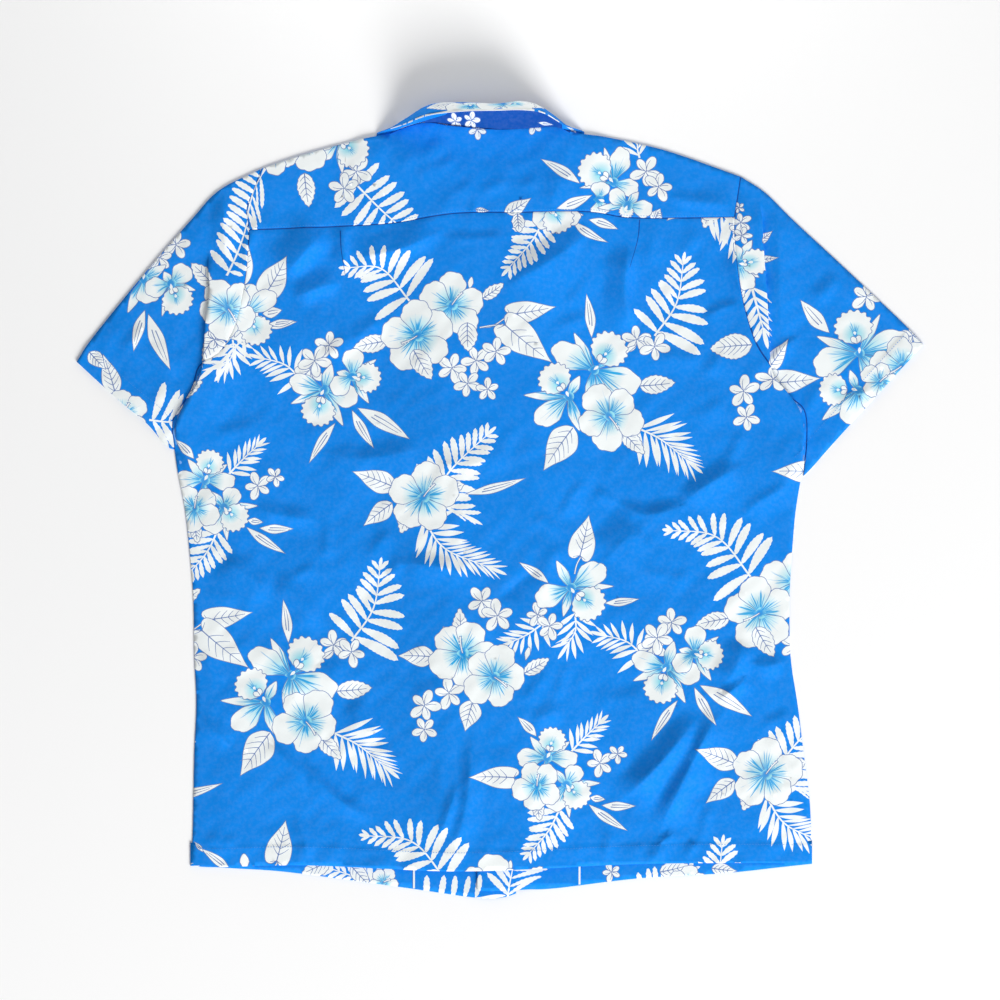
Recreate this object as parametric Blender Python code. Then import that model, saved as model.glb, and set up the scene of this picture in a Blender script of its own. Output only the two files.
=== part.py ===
"""A short-sleeved Hawaiian shirt lying face down: back up, fronts and placket on the surface, sleeves spread.

Lengths are in millimetres until MM turns them into metres. X runs along the shoulders, to the right as seen
from above, Y runs from the hem up to the collar, and Z is up from the surface that the shirt lies on.
Each cloth piece is a sheet through the middle of its wall, which a Solidify modifier thickens.
"""

import math

import bmesh
import bpy
from mathutils import Vector
from mathutils.geometry import delaunay_2d_cdt

MM = 0.001

# Cloth
WALL = 1.0  # one layer of cloth, seam turnings included
GAP = 0.3  # clear space between two pieces, or two layers
LAYER = WALL + GAP
LOW = WALL / 2  # middle of a layer that lies on the surface
HIGH = LOW + LAYER  # middle of the layer above it
TURN = 0.65  # how far a folded edge reaches past the lines where it starts to bend
SPACING = 32.0  # between grid points of the back
WIDE_SPACING = 48.0  # the same on flat cloth
EDGE_STEP = 22.0  # between points along an outline
STRAIGHT_STEP = 60.0  # the same along straight edges
FINE_STEP = 14.0  # the same along armholes, folds and the neck
CLEAR_OF_GRID = 0.55  # least distance of a grid point from other points, as a share of the spacing
EDGE_ROOM = 3.0  # rows and grid stay this far inside the outline
CLEAR_OF_EDGE = 2.5  # and at least this far from its points
CLEAR_OF_ROWS = 1.2  # and from other rows
SHARPEST = 0.4  # how much of its normal a moved corner keeps, at least

# Body: the side seams, from the underarm down to the hem
BODY_SECTIONS = (  # y, x of left side, x of right side
    (24, -321.5, 301.5),
    (-12, -314.5, 295.5),
    (-60, -309.5, 291.5),
    (-100, -306.5, 289.5),
    (-156, -305.5, 290.5),
    (-204, -303.5, 297.5),
    (-252, -305.5, 303.5),
    (-300, -306.5, 309.5),
    (-340, -307.5, 311.3),
)
HEM_CORNER_LEFT = (-309.5, -365.5)
HEM_CORNER_RIGHT = (312.0, -363.5)
BACK_HEM = ((-282.5, -367), (-196.5, -365), (-53.5, -370.5), (49.5, -367.5), (132.5, -364), (240.5, -362.5))
FRONT_HEM_LEFT = (
    (-266.5, -368), (-210.5, -372), (-112.5, -385), (-56.5, -393), (-36, -396), (-13, -398), (5, -396.5),
)  # fmt: skip
FRONT_HEM_RIGHT = (
    (279.5, -367), (223.5, -373), (139.5, -378), (55.5, -388), (42, -388.5), (28, -389), (18, -389.5),
    (5, -390), (-13, -390.5),
)  # fmt: skip

# Armhole seams, from the shoulder to the underarm, and the tuck that the cloth makes beside each of them
UNDERARM_LEFT = (-325.5, 50.5)
UNDERARM_RIGHT = (303.2, 24.0)
ARMHOLE_LEFT = (
    (-238.5, 331), (-246.5, 309), (-253.3, 292), (-251, 270), (-252, 245), (-254.5, 220),
    (-264, 177), (-281, 146), (-300.5, 134), (-307, 114), (-317.5, 95), (-327.5, 78),
)  # fmt: skip
ARMHOLE_RIGHT = (
    (240.5, 323), (237.5, 303), (234.5, 282.5), (234.5, 258), (240.5, 211),
    (248, 179), (257, 150), (271, 126), (286, 106), (304, 90), (306.5, 60),
)  # fmt: skip
TUCKS = (  # side (-1 left, 1 right), height, width of its slope towards the body, and its crest
    (-1, 5.0, 52, (
        (-290.5, 292), (-290.5, 238), (-285, 210), (-289.5, 175),
        (-291.5, 142), (-298, 116), (-320, 76), (-319.5, 52),
    )),
    (1, 5.0, 46, (
        (258.5, 304), (257.5, 280), (258.5, 250), (262, 200),
        (264.5, 155), (268, 126), (296, 86), (299.5, 30),
    )),
)  # fmt: skip
TUCK_DROP = 4.0  # width of a tuck's steep side

# Shoulders and yoke
SHOULDER_LEFT = ((-238.5, 331), (-196.5, 345), (-140.5, 360), (-113, 365.3))
SHOULDER_RIGHT = ((76, 366.5), (111.5, 361.5), (167.5, 348.5), (240.5, 323))
NECK_SEAM = (
    (-110, 366.5), (-95, 372.5), (-73.5, 377.5), (-48, 374),
    (-3.5, 370.5), (36, 372.5), (58, 373), (70, 367.5),
)  # fmt: skip
YOKE_SEAM = (
    (-251, 270), (-160, 273.5), (-105.5, 277), (-45.5, 286.3),
    (22, 287.5), (89.5, 288), (134.5, 282), (234.5, 282.5),
)  # fmt: skip
FRONT_YOKE_LEFT = ((-247.5, 302.5), (-98, 341))
FRONT_YOKE_RIGHT = ((58, 341), (237.5, 303))

# Sleeves: the upper edge from shoulder to cuff, and the cuff from its tip to the underarm
SLEEVE_TOP_LEFT = ((-238.5, 331), (-280.5, 309.5), (-308.5, 280), (-350.5, 232), (-406.5, 163), (-423, 138))
SLEEVE_TOP_RIGHT = ((240.5, 323), (265.5, 306.5), (293.5, 279), (349.5, 227), (405.5, 174), (423, 155))
CUFF_LEFT = ((-423, 138), (-381.5, 100), (-352.5, 76), (-334.5, 54.5))
CUFF_RIGHT = ((423, 155), (341.5, 66), (311, 31.5))

# Fronts: the fold lines of their cut-on facings, and the V of the open neck
NECK_POINT = (-14.0, 224.0)  # where the fronts cross
NECK_TURN_LEFT = (-5.2, 215)  # on the way there from each front's folded edge
NECK_TURN_RIGHT = (-23.3, 215)
FRONT_EDGE_LEFT = ((16, -393), (8, 206))  # the left front lies under the right one
FRONT_EDGE_RIGHT = ((-22.5, -390), (-30, 206))
ROLL_LEFT = ((-23, 239), (-88, 339))
ROLL_RIGHT = ((-7, 239), (48, 339))
FACING_WIDTH = 103.0
FACING_SHOULDER = 38.0  # how far from the neck a facing's edge meets the front yoke seam
LAPEL_LEFT = ((-100, 316), (-117, 283), (-72, 250))  # notch, tip and belly of the turned-out top
LAPEL_RIGHT = ((60, 316), (77, 283), (34, 250))
SHOULDER_SLOPE = 0.28
FACING_TURNS = (-100.0, 160.0)  # heights between which its edge leans out
FACING_LEAN = 6.0
CORNER_ROOM = 10.0  # the facing's lower edge follows the hem's points up to this far from its corner
LAPEL_FOOT = (3, -8)  # outwards and down from the roll line's foot
FACING_HEM = 3.0  # the facing ends this far above the front's hem

# Placket and buttons
CENTRE_FRONT = ((-4, -396), (-14, 222))
BUTTON_YS = (198, 103, 8, -87, -182, -277)
BUTTON_RADIUS = 5.75
BUTTON_THICKNESS = 2.0
BUTTON_DISH = ((0, 0.5), (3.1, 0.5), (3.8, 0), (5.1, 0))  # radius and height: the hollow, then the rim
BUTTON_BACK_RADIUS = 5.2
BUTTON_SIDES = 12
PLACKET_LIFT = BUTTON_THICKNESS + GAP
PLACKET_SLOPE = (9.0, 32.0)  # distances from the centre front between which the lift runs out
OVERLAP_SLOPE = (2.0, 26.0)  # the same for the right front, from the left one's edge
V_SLOPE = (228.0, 256.0)  # heights on the body between which both run out
PLACKET_ROWS = (*range(-384, 200, 65), 201)  # heights of the points along it
V_COLUMNS = range(-76, 56, 12)  # and of those across the V

# The part of the fronts that lies on the collar's leaves and the lapels
COLLAR_ZONE = (
    (-14, 214), (42, 232), (84, 274), (101, 297), (95, 374),
    (-135, 374), (-141, 297), (-124, 274), (-70, 232),
)  # fmt: skip
ZONE_RAMP = 14.0  # width of the slope round it
ZONE_INSIDE = 6.0  # a row of points this far inside it

# Collar: sections from the left leaf's front edge, round the back of the neck, to the right leaf's
# seam x, y, z, roll x, y, z, free edge x, y, z, and how far the fall bows outwards
COLLAR_SECTIONS = (
    (-90.5, 339.5, LOW, -98, 326, LOW, -132, 300, LOW, 0),
    (-97, 349, LOW, -106, 341, LOW, -131.5, 321, LOW, 0),
    (-103, 358, LOW, -111, 353, LOW, -129, 345, LOW, 0),
    (-106.5, 365.2, LOW, -111.5, 365.8, LOW, -124, 362.5, LOW, 0),
    (-107.3, 368.2, 1.7, -111, 369.6, 1.9, -122.8, 366.9, 2.0, 0),
    (-101, 371.9, 4.6, -103.5, 374.9, 6.0, -104, 371.5, 13, 0.5),
    (-92, 375.1, 5.6, -91, 382.5, 9.0, -92, 374.5, 23, 1.0),
    (-76, 378.7, 5.7, -76, 391.5, 13, -77, 379.5, 36, 1.5),
    (-58, 377.2, 5.4, -60, 395.6, 15.5, -60, 382.3, 44, 2.0),
    (-30, 373.0, 5.3, -31, 395.6, 17, -31, 384.2, 50, 2.5),
    (-4, 371.3, 5.3, -3, 394.2, 18, -3, 384.5, 52, 2.5),
    (18, 372.1, 5.3, 20, 397.0, 18, 20, 385.2, 51, 2.5),
    (38, 373.3, 5.4, 38, 393.0, 16, 40, 383.5, 45, 2.0),
    (53, 374.0, 5.6, 54.5, 383.0, 11, 54.5, 378, 27, 1.0),
    (62, 372.0, 4.6, 64.5, 375.3, 6.5, 65.5, 372.6, 13, 0.5),
    (67.3, 369.4, 1.7, 71, 371, 1.9, 82.8, 368.8, 2.0, 0),
    (66.5, 366.4, LOW, 71.5, 367.2, LOW, 84, 364.5, LOW, 0),
    (63, 358, LOW, 71, 353, LOW, 89, 345, LOW, 0),
    (57, 349, LOW, 66, 341, LOW, 91.5, 321, LOW, 0),
    (50.5, 339.5, LOW, 58, 326, LOW, 92, 300, LOW, 0),
)
COLLAR_PARTS = 3  # between two sections
STAND_STEPS = 3
FALL_STEPS = 4

# The body's largest folds: where each starts, bends and ends, its height and the widths of its two slopes
# (left and right of the line, looking from its start to its end)
FOLDS = (
    ((244.5, -143), (189.5, -215), (116.5, -300), 5.0, 22, 10),
    ((215.5, -226), (170.5, -296), (147, -352), 4.5, 20, 9),
    ((199.5, -303), (194, -330), (187, -352), 2.5, 12, 9),
    ((86.5, -143), (87, -180), (86.5, -213), 2.0, 10, 12),
    ((113.5, -3), (150, -30), (186.5, -57), 2.5, 16, 10),
    ((170.5, -3), (215, 5), (256.5, 13), 2.5, 10, 14),
    ((256.5, 13), (250, 38), (244.5, 61), 2.2, 12, 10),
    ((55.5, -32), (72, -6), (87.5, 23), 2.0, 14, 12),
    ((-273.5, -46), (-218.5, -77), (-185.5, -124), 3.5, 18, 10),
    ((-217, -78), (-194, -72), (-171.5, -68), 2.0, 10, 12),
    ((-215.5, 16), (-199, -1), (-182.5, -19), 2.5, 14, 10),
    ((-231.5, -242), (-211, -266), (-190.5, -293), 3.0, 14, 10),
    ((-202.5, -258), (-166, -290), (-132.5, -325), 3.0, 14, 10),
    ((-171.5, -159), (-156, -188), (-139.5, -220), 2.2, 12, 12),
    ((-30.5, -239), (-41, -284), (-53.5, -328), 2.5, 14, 9),
    ((-174, 262), (-195, 240), (-217.5, 218), 2.5, 10, 14),
    ((-105.5, 257), (-80, 268), (-58, 273), 1.6, 9, 12),
    ((10.5, 219), (48, 236), (89.5, 255), 2.0, 18, 14),
    ((48.5, 174), (70, 198), (92.5, 222), 2.0, 12, 12),
    ((-300, 66), (-280, 64), (-252, 71), 2.5, 10, 10),
    ((312.5, 190), (328, 209), (344.5, 228), 2.5, 12, 10),
    ((279, 137), (287, 158), (295, 178), 2.2, 10, 8),
    ((-345, 150), (-352, 178), (-349, 205), 2.0, 12, 12),
)
PLEATS = (  # the same columns: one pleat on each side, stitched flat into the yoke seam
    ((-158.5, 270), (-156.5, 252), (-155.5, 222), 2.4, 2.5, 16),
    ((139.5, 278), (134, 250), (131, 214), 2.4, 16, 2.5),
)
FOLD_START = 0.25  # shares of a fold's length over which it rises and dies out
FOLD_END = 0.35
TUCK_START = 30.0  # length over which a tuck rises
CREST_ROWS = (0.0, TUCK_DROP * 0.5, TUCK_DROP, -7.0, -22.0)  # rows of points beside a tuck's crest
SLOPE_ROWS = (0.55, 1.0)  # and beside a fold's, as shares of its slopes' widths
LOFT = 1.4  # how far the back stands clear of the fronts away from its edges
LOFT_WIDTH = 60.0
EDGE_FADE = 15.0  # folds die out over this distance from a folded edge

# How the back clears the placket and the facings, which stack up to six layers
PLACKET_RISE = 6.4
PLACKET_RISE_WIDTHS = (34, 120)  # distances from the centre front: full, and none
PLACKET_RISE_TOP = (232, 282)  # heights on the body between which it runs out
NECK_RISE = 1.35
NECK_RISE_X = -20.0
NECK_RISE_WIDTHS = (125, 150)
NECK_RISE_TOP = (212, 238)

BLUE = (0.012, 0.258, 0.863, 1.0)
BUTTON_BLUE = (0.05, 0.16, 0.52, 1.0)


def smooth(t):
    t = min(max(t, 0.0), 1.0)
    return t * t * (3 - 2 * t)


def fade(value, full, empty):
    """1 up to full, then smoothly down to 0 at empty."""
    return 1 - smooth((value - full) / (empty - full))


def hump(distance, full, empty):
    return fade(abs(distance), full, empty)


def slope(value, full, empty):
    """1 up to full, then straight down to 0 at empty, so that layers with the same guides stay parallel."""
    return min(max((empty - value) / (empty - full), 0.0), 1.0)


def curve(points, step=EDGE_STEP, even_parts=None):
    """Points on a smooth line through the given ones, about step apart or in even parts between them."""
    ends = [Vector(p) for p in points]
    padded = [2 * ends[0] - ends[1], *ends, 2 * ends[-1] - ends[-2]]
    line = [ends[0]]
    for i in range(1, len(padded) - 2):
        before, start, end, after = padded[i - 1 : i + 3]
        parts = even_parts or max(1, round((end - start).length / step))
        for k in range(1, parts + 1):
            t = k / parts
            square = 2 * before - 5 * start + 4 * end - after
            cube = 3 * start - before - 3 * end + after
            line.append(0.5 * (2 * start + (end - before) * t + square * t**2 + cube * t**3))
    return line


def nearest(line, x, y):
    """A point's distance from a line, its side (above 0 to the left of it) and how far along it lies."""
    best = (1e9, 0.0, 0.0)
    passed = 0.0
    for a, b in zip(line, line[1:]):
        run = b - a
        length = max(run.length, 1e-9)
        t = min(max(((x - a.x) * run.x + (y - a.y) * run.y) / length**2, 0.0), 1.0)
        dx, dy = x - a.x - t * run.x, y - a.y - t * run.y
        distance = math.hypot(dx, dy)
        if distance < best[0]:
            best = (distance, run.x * dy - run.y * dx, passed + t * length)
        passed += length
    return best


def inside(polygon, x, y):
    crossings = 0
    for a, b in zip(polygon, polygon[1:] + polygon[:1]):
        if (a.y > y) != (b.y > y) and x < a.x + (y - a.y) * (b.x - a.x) / (b.y - a.y):
            crossings += 1
    return crossings % 2 == 1


def inset(polygon, distance):
    """An anticlockwise polygon with each side moved inwards."""
    moved = []
    for before, point, after in zip(polygon[-1:] + polygon[:-1], polygon, polygon[1:] + polygon[:1]):
        sides = [(point - before).normalized(), (after - point).normalized()]
        normals = [Vector((-s.y, s.x)) for s in sides]
        middle = (normals[0] + normals[1]).normalized()
        moved.append(point + middle * distance / max(middle.dot(normals[0]), SHARPEST))
    return moved


# Lines that the heights are worked out from
sleeve_top_left = curve(SLEEVE_TOP_LEFT)
sleeve_top_right = curve(SLEEVE_TOP_RIGHT)
shoulder_left = curve(SHOULDER_LEFT)
shoulder_right = curve(SHOULDER_RIGHT)
side_left = curve([UNDERARM_LEFT] + [(left, y) for y, left, right in BODY_SECTIONS] + [HEM_CORNER_LEFT])
side_right = curve([UNDERARM_RIGHT] + [(right, y) for y, left, right in BODY_SECTIONS] + [HEM_CORNER_RIGHT])
armhole_left = curve(ARMHOLE_LEFT + (UNDERARM_LEFT,), FINE_STEP)
armhole_right = curve(ARMHOLE_RIGHT + (UNDERARM_RIGHT,), FINE_STEP)
yoke_seam = curve(YOKE_SEAM)
neck_seam = curve(NECK_SEAM, FINE_STEP)
collar_zone = [Vector(p) for p in COLLAR_ZONE]
closed_edges = (sleeve_top_left, shoulder_left, shoulder_right, sleeve_top_right, side_left, side_right)
tuck_lines = [(side, height, width, curve(crest, FINE_STEP)) for side, height, width, crest in TUCKS]
fold_lines = [(curve(fold[:3], FINE_STEP), *fold[3:]) for fold in FOLDS + PLEATS]


def at_height(line, y):
    """x of a straight line at y."""
    (x0, y0), (x1, y1) = line
    return x0 + (x1 - x0) * (y - y0) / (y1 - y0)


def centre_front(y):
    return at_height(CENTRE_FRONT, y)


def placket_lift(x, y):
    """The placket lies on its buttons, a little above the surface."""
    return PLACKET_LIFT * slope(abs(x - centre_front(y)), *PLACKET_SLOPE) * slope(y, *V_SLOPE)


def zone_lift(x, y):
    """The fronts and shoulders lie on the collar's leaves and the lapels."""
    outside = 0.0 if inside(collar_zone, x, y) else nearest(collar_zone + collar_zone[:1], x, y)[0]
    return LAYER * slope(outside, 0, ZONE_RAMP)


def lift(x, y):
    return max(placket_lift(x, y), zone_lift(x, y))


def flat(x, y):
    return LOW


def lowest(x, y):
    return LOW + lift(x, y)


def over_left_front(x, y):
    """How far the right front stands up to pass over the left one and its facing."""
    return 2 * LAYER * slope(x - at_height(FRONT_EDGE_LEFT, y), *OVERLAP_SLOPE) * slope(y, *V_SLOPE)


def fold_height(x, y):
    """The folds and pleats at a point: a ridge with two slopes, which dies out at its ends."""
    total = 0.0
    for line, height, left_width, right_width in fold_lines:
        distance, side, along = nearest(line, x, y)
        width = left_width if side > 0 else right_width
        if distance < width:
            length = sum((b - a).length for a, b in zip(line, line[1:]))
            ends = smooth(along / length / FOLD_START) * smooth((length - along) / length / FOLD_END)
            total = max(total, height * ends * (1 - smooth(distance / width)))
    return total


def tuck_height(x, y):
    """Each armhole's tuck: a long slope up from the body, then a steep drop to the sleeve."""
    total = 0.0
    for side, height, width, line in tuck_lines:
        distance, turn, along = nearest(line, x, y)
        outwards = turn * side > 0
        start = smooth(along / TUCK_START)
        total = max(total, height * start * (1 - smooth(distance / (TUCK_DROP if outwards else width))))
    return total


def under_back(x, y):
    """What the back has to clear: the placket in the middle, and the facings beside the neck."""
    placket = hump(x - centre_front(y), *PLACKET_RISE_WIDTHS) * fade(y, *PLACKET_RISE_TOP)
    neck = hump(x - NECK_RISE_X, *NECK_RISE_WIDTHS) * (1 - fade(y, *NECK_RISE_TOP))
    return max(PLACKET_RISE * placket, zone_lift(x, y) + NECK_RISE * neck)


def highest(x, y):
    """The middle of the top layer: back, yoke and the upper side of each sleeve."""
    from_edge = min(nearest(line, x, y)[0] for line in closed_edges)
    edge_height = HIGH + zone_lift(x, y)
    loose = LOFT * smooth(from_edge / LOFT_WIDTH) + fold_height(x, y) + tuck_height(x, y)
    clear = HIGH + under_back(x, y) - edge_height
    return edge_height + smooth(from_edge / EDGE_FADE) * (loose + clear)


def feature_lines():
    """Lines that the top layer's grid follows: crests, and the feet of steep sides."""
    lines = []
    for side, height, width, line in tuck_lines:
        lines += [shifted(line, reach * side) for reach in CREST_ROWS]
    for line, height, left_width, right_width in fold_lines:
        lines.append(line)
        for share in SLOPE_ROWS:
            lines += [shifted(line, left_width * share), shifted(line, -right_width * share)]
    return lines


def zone_guides():
    outlines = (collar_zone, inset(collar_zone, -ZONE_RAMP), inset(collar_zone, ZONE_INSIDE))
    return [outline + outline[:1] for outline in outlines]


def shifted(line, distance):
    """A line moved to the left of its direction."""
    moved = []
    for i, point in enumerate(line):
        run = line[min(i + 1, len(line) - 1)] - line[max(i - 1, 0)]
        moved.append(point + Vector((-run.y, run.x)).normalized() * distance)
    return moved


def clear(point, others, least):
    return all((point - other).length > least for other in others)


def grid_points(polygon, spacing, taken):
    """A triangular grid inside the polygon, clear of the points that are already there."""
    xs, ys = [p.x for p in polygon], [p.y for p in polygon]
    points = []
    row_height = spacing * math.sqrt(3) / 2
    for row in range(1, int((max(ys) - min(ys)) / row_height) + 1):
        y = min(ys) + row * row_height
        for column in range(int((max(xs) - min(xs)) / spacing) + 1):
            point = Vector((min(xs) + (column + 0.5 * (row % 2)) * spacing, y))
            if inside(polygon, *point) and clear(point, taken, spacing * CLEAR_OF_GRID):
                points.append(point)
    return points


def add_sheet(bm, polygon, height, spacing, lines=(), face_up=True):
    """Adds the cloth inside an outline to bm, at the function's height, and returns its edge's vertices."""
    outline = inset(polygon, GAP / 2)
    room = inset(polygon, EDGE_ROOM)
    points, edges = list(outline), []
    for line in lines:
        before = None
        for point in line:
            if not inside(room, *point) or nearest(outline + outline[:1], *point)[0] < CLEAR_OF_EDGE:
                before = None
                continue
            if clear(point, points[len(outline) :], CLEAR_OF_ROWS):
                points.append(point)
                if before is not None:
                    edges.append((before, len(points) - 1))
                before = len(points) - 1
            else:
                before = None
    points += grid_points(room, spacing, points)
    border = list(range(len(outline)))
    made = delaunay_2d_cdt(points, edges, [border], 1, 0.01)
    verts = [bm.verts.new((p.x * MM, p.y * MM, height(p.x, p.y) * MM)) for p in made[0]]
    for face in made[2]:
        bm.faces.new([verts[i] for i in (face if face_up else reversed(face))])
    found = {source: verts[i] for i, sources in enumerate(made[3]) for source in sources}
    return [found[i] for i in border]


def join_fold(bm, upper, lower):
    """Joins two sheets round a folded edge. Both lists run anticlockwise round the upper sheet."""
    middle = []
    for i, (top, bottom) in enumerate(zip(upper, lower)):
        run = upper[min(i + 1, len(upper) - 1)].co - upper[max(i - 1, 0)].co
        outwards = Vector((run.y, -run.x, 0)).normalized()
        middle.append(bm.verts.new((top.co + bottom.co) / 2 + outwards * TURN * MM))
    for i in range(len(upper) - 1):
        bm.faces.new((upper[i + 1], upper[i], middle[i], middle[i + 1]))
        bm.faces.new((middle[i + 1], middle[i], lower[i], lower[i + 1]))


def join_edge(bm, upper, lower, clockwise):
    if clockwise:
        upper, lower = upper[::-1], lower[::-1]
    join_fold(bm, upper, lower)


def material(name, colour, roughness):
    made = bpy.data.materials.new(name)
    made.use_nodes = True
    shader = made.node_tree.nodes["Principled BSDF"]
    shader.inputs["Base Color"].default_value = colour
    shader.inputs["Roughness"].default_value = roughness
    return made


def finish(bm, name, surface):
    mesh = bpy.data.meshes.new(name)
    bm.to_mesh(mesh)
    bm.free()
    mesh.materials.append(surface)
    mesh.shade_smooth()
    piece = bpy.data.objects.new(name, mesh)
    bpy.context.scene.collection.objects.link(piece)
    return piece


def finish_cloth(bm, name, surface):
    piece = finish(bm, name, surface)
    wall = piece.modifiers.new("wall", "SOLIDIFY")
    wall.thickness = WALL * MM
    wall.offset = 0.0
    wall.use_even_offset = True
    return piece


def between(line, start, end):
    """The points of a line whose index is from the one nearest start to the one nearest end."""
    first = min(range(len(line)), key=lambda i: (line[i] - Vector(start)).length)
    last = min(range(len(line)), key=lambda i: (line[i] - Vector(end)).length)
    return line[first : last + 1]


def make_back(surface):
    left = between(armhole_left, YOKE_SEAM[0], UNDERARM_LEFT)
    right = between(armhole_right, YOKE_SEAM[-1], UNDERARM_RIGHT)
    hem = curve((HEM_CORNER_LEFT,) + BACK_HEM + (HEM_CORNER_RIGHT,))
    polygon = left + side_left[1:] + hem[1:] + side_right[-2::-1] + right[-2::-1] + yoke_seam[-2:0:-1]
    bm = bmesh.new()
    add_sheet(bm, polygon, highest, SPACING, feature_lines())
    return finish_cloth(bm, "back_body", surface)


def make_yoke(surface):
    left = between(armhole_left, ARMHOLE_LEFT[0], YOKE_SEAM[0])
    right = between(armhole_right, ARMHOLE_RIGHT[0], YOKE_SEAM[-1])
    shoulders = (shoulder_right[::-1], neck_seam[::-1], shoulder_left[::-1])
    parts = (left[:-1], yoke_seam, right[-2:0:-1], *shoulders)
    starts = [sum(len(part) for part in parts[:i]) for i in range(len(parts))]
    polygon = [point for part in parts for point in part][:-1]
    bm = bmesh.new()
    top = add_sheet(bm, polygon, highest, SPACING, feature_lines())
    top_right = top[starts[3] : starts[3] + len(shoulder_right)]
    top_left = top[starts[5] :] + top[:1]
    # The yoke turns over each shoulder to its seam with the front.
    end_left = between(armhole_left, ARMHOLE_LEFT[0], FRONT_YOKE_LEFT[0])
    end_right = between(armhole_right, ARMHOLE_RIGHT[0], FRONT_YOKE_RIGHT[1])
    seam_left = [end_left[-1]] + curve(FRONT_YOKE_LEFT)[1:]
    seam_right = curve(FRONT_YOKE_RIGHT)[:-1] + [end_right[-1]]
    under_left = end_left[:-1] + seam_left + shoulder_left[:0:-1]
    under_right = seam_right + end_right[-2:0:-1] + shoulder_right[::-1]
    low_left = add_sheet(bm, under_left, lowest, WIDE_SPACING, zone_guides(), face_up=False)
    low_right = add_sheet(bm, under_right, lowest, WIDE_SPACING, zone_guides(), face_up=False)
    join_fold(bm, top_left, low_left[-len(shoulder_left) + 1 :] + low_left[:1])
    join_fold(bm, top_right, low_right[-len(shoulder_right) :])
    return finish_cloth(bm, "back_yoke", surface)


def make_sleeve(name, top_edge, cuff, armhole, surface):
    """A flattened tube, open at the armhole and at the cuff."""
    hem = curve(cuff)
    polygon = armhole[::-1] + top_edge[1:] + hem[1:]
    fold_start = len(armhole) - 1
    fold = slice(fold_start, fold_start + len(top_edge))
    clockwise = top_edge[-1].x > 0
    if clockwise:
        polygon = polygon[::-1]
    bm = bmesh.new()
    upper = add_sheet(bm, polygon, highest, SPACING, feature_lines())
    lower = add_sheet(bm, polygon, lowest, WIDE_SPACING, face_up=False)
    if clockwise:
        upper, lower = upper[::-1], lower[::-1]
    join_edge(bm, upper[fold], lower[fold], clockwise)
    join_edge(bm, [upper[-1], upper[0]], [lower[-1], lower[0]], clockwise)
    return finish_cloth(bm, name, surface)


def make_front(name, side, roll, lapel, front_edge, hem_points, surface):
    """A front with its cut-on facing folded back inside, and the top of both turned out as a lapel."""
    left = side < 0
    seam = curve(FRONT_YOKE_LEFT if left else FRONT_YOKE_RIGHT[::-1])
    armhole = armhole_left if left else armhole_right
    armhole = between(armhole, seam[0], UNDERARM_LEFT if left else UNDERARM_RIGHT)
    edge = curve(front_edge, STRAIGHT_STEP)
    corner = HEM_CORNER_LEFT if left else HEM_CORNER_RIGHT
    hem = curve((corner, *hem_points, front_edge[0]), STRAIGHT_STEP)
    seams = side_left if left else side_right
    roll_line = curve(roll)
    neck = [Vector(NECK_TURN_LEFT if left else NECK_TURN_RIGHT), Vector(NECK_POINT)]
    polygon = armhole + seams[1:] + hem[1:] + edge[1:] + neck + roll_line + seam[:0:-1]

    def front_height(x, y):
        return lowest(x, y) + (0 if left else over_left_front(x, y))

    def facing_height(x, y):
        return front_height(x, y) + LAYER

    rows = [*PLACKET_ROWS, *V_SLOPE]
    reaches = [side * reach for reach in PLACKET_SLOPE for side in (-1, 1)]
    guides = [[Vector((centre_front(y) + reach, y)) for y in rows] for reach in reaches]
    guides += [[Vector((x, y)) for x in V_COLUMNS] for y in V_SLOPE]
    if not left:
        starts = [at_height(FRONT_EDGE_LEFT, y) for y in rows]
        guides += [[Vector((x + reach, y)) for x, y in zip(starts, rows)] for reach in OVERLAP_SLOPE]
    guides += zone_guides()

    inner = front_edge[0][0] + side * FACING_WIDTH
    shoulder = seam[-1] + Vector((side * FACING_SHOULDER, -FACING_SHOULDER * SHOULDER_SLOPE - GAP))
    covered = [point for point in hem if abs(point.x - edge[0].x) < FACING_WIDTH - CORNER_ROOM]
    bottom = [point + Vector((0, FACING_HEM)) for point in covered]
    low, high = FACING_TURNS
    turns = ((inner, bottom[0].y + FACING_HEM), (inner, low), (inner - FACING_LEAN * side, high))
    facing_edge = curve((*turns, shoulder), STRAIGHT_STEP)
    facing = facing_edge[::-1] + bottom + edge[1:] + neck + roll_line

    notch, tip, belly = (Vector(p) for p in lapel)
    foot = roll_line[0] + Vector((side * LAPEL_FOOT[0], LAPEL_FOOT[1]))
    turned = [roll_line[-1], notch, tip, belly, foot] + roll_line[:-1]

    bm = bmesh.new()
    sheets = (
        (polygon, front_height, guides, False),
        (facing, facing_height, guides, True),
        (turned, flat, (), True),
    )
    outlines = []
    for shape, height, lines, up in sheets:
        verts = add_sheet(bm, shape if left else shape[::-1], height, WIDE_SPACING, lines, up)
        outlines.append(verts if left else verts[::-1])
    front, inside_facing, out = outlines
    edge_start = len(armhole) + len(seams) + len(hem) - 3
    front_fold = front[edge_start : edge_start + len(edge)]
    facing_start = len(facing_edge) + len(bottom) - 1
    facing_fold = inside_facing[facing_start : facing_start + len(edge)]
    join_edge(bm, facing_fold, front_fold, not left)
    roll_start = edge_start + len(edge) + len(neck)
    front_roll = front[roll_start : roll_start + len(roll_line)]
    lapel_roll = out[5:] + out[:1]
    join_edge(bm, front_roll, lapel_roll, not left)
    bmesh.ops.recalc_face_normals(bm, faces=bm.faces)
    return finish_cloth(bm, name, surface)


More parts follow.
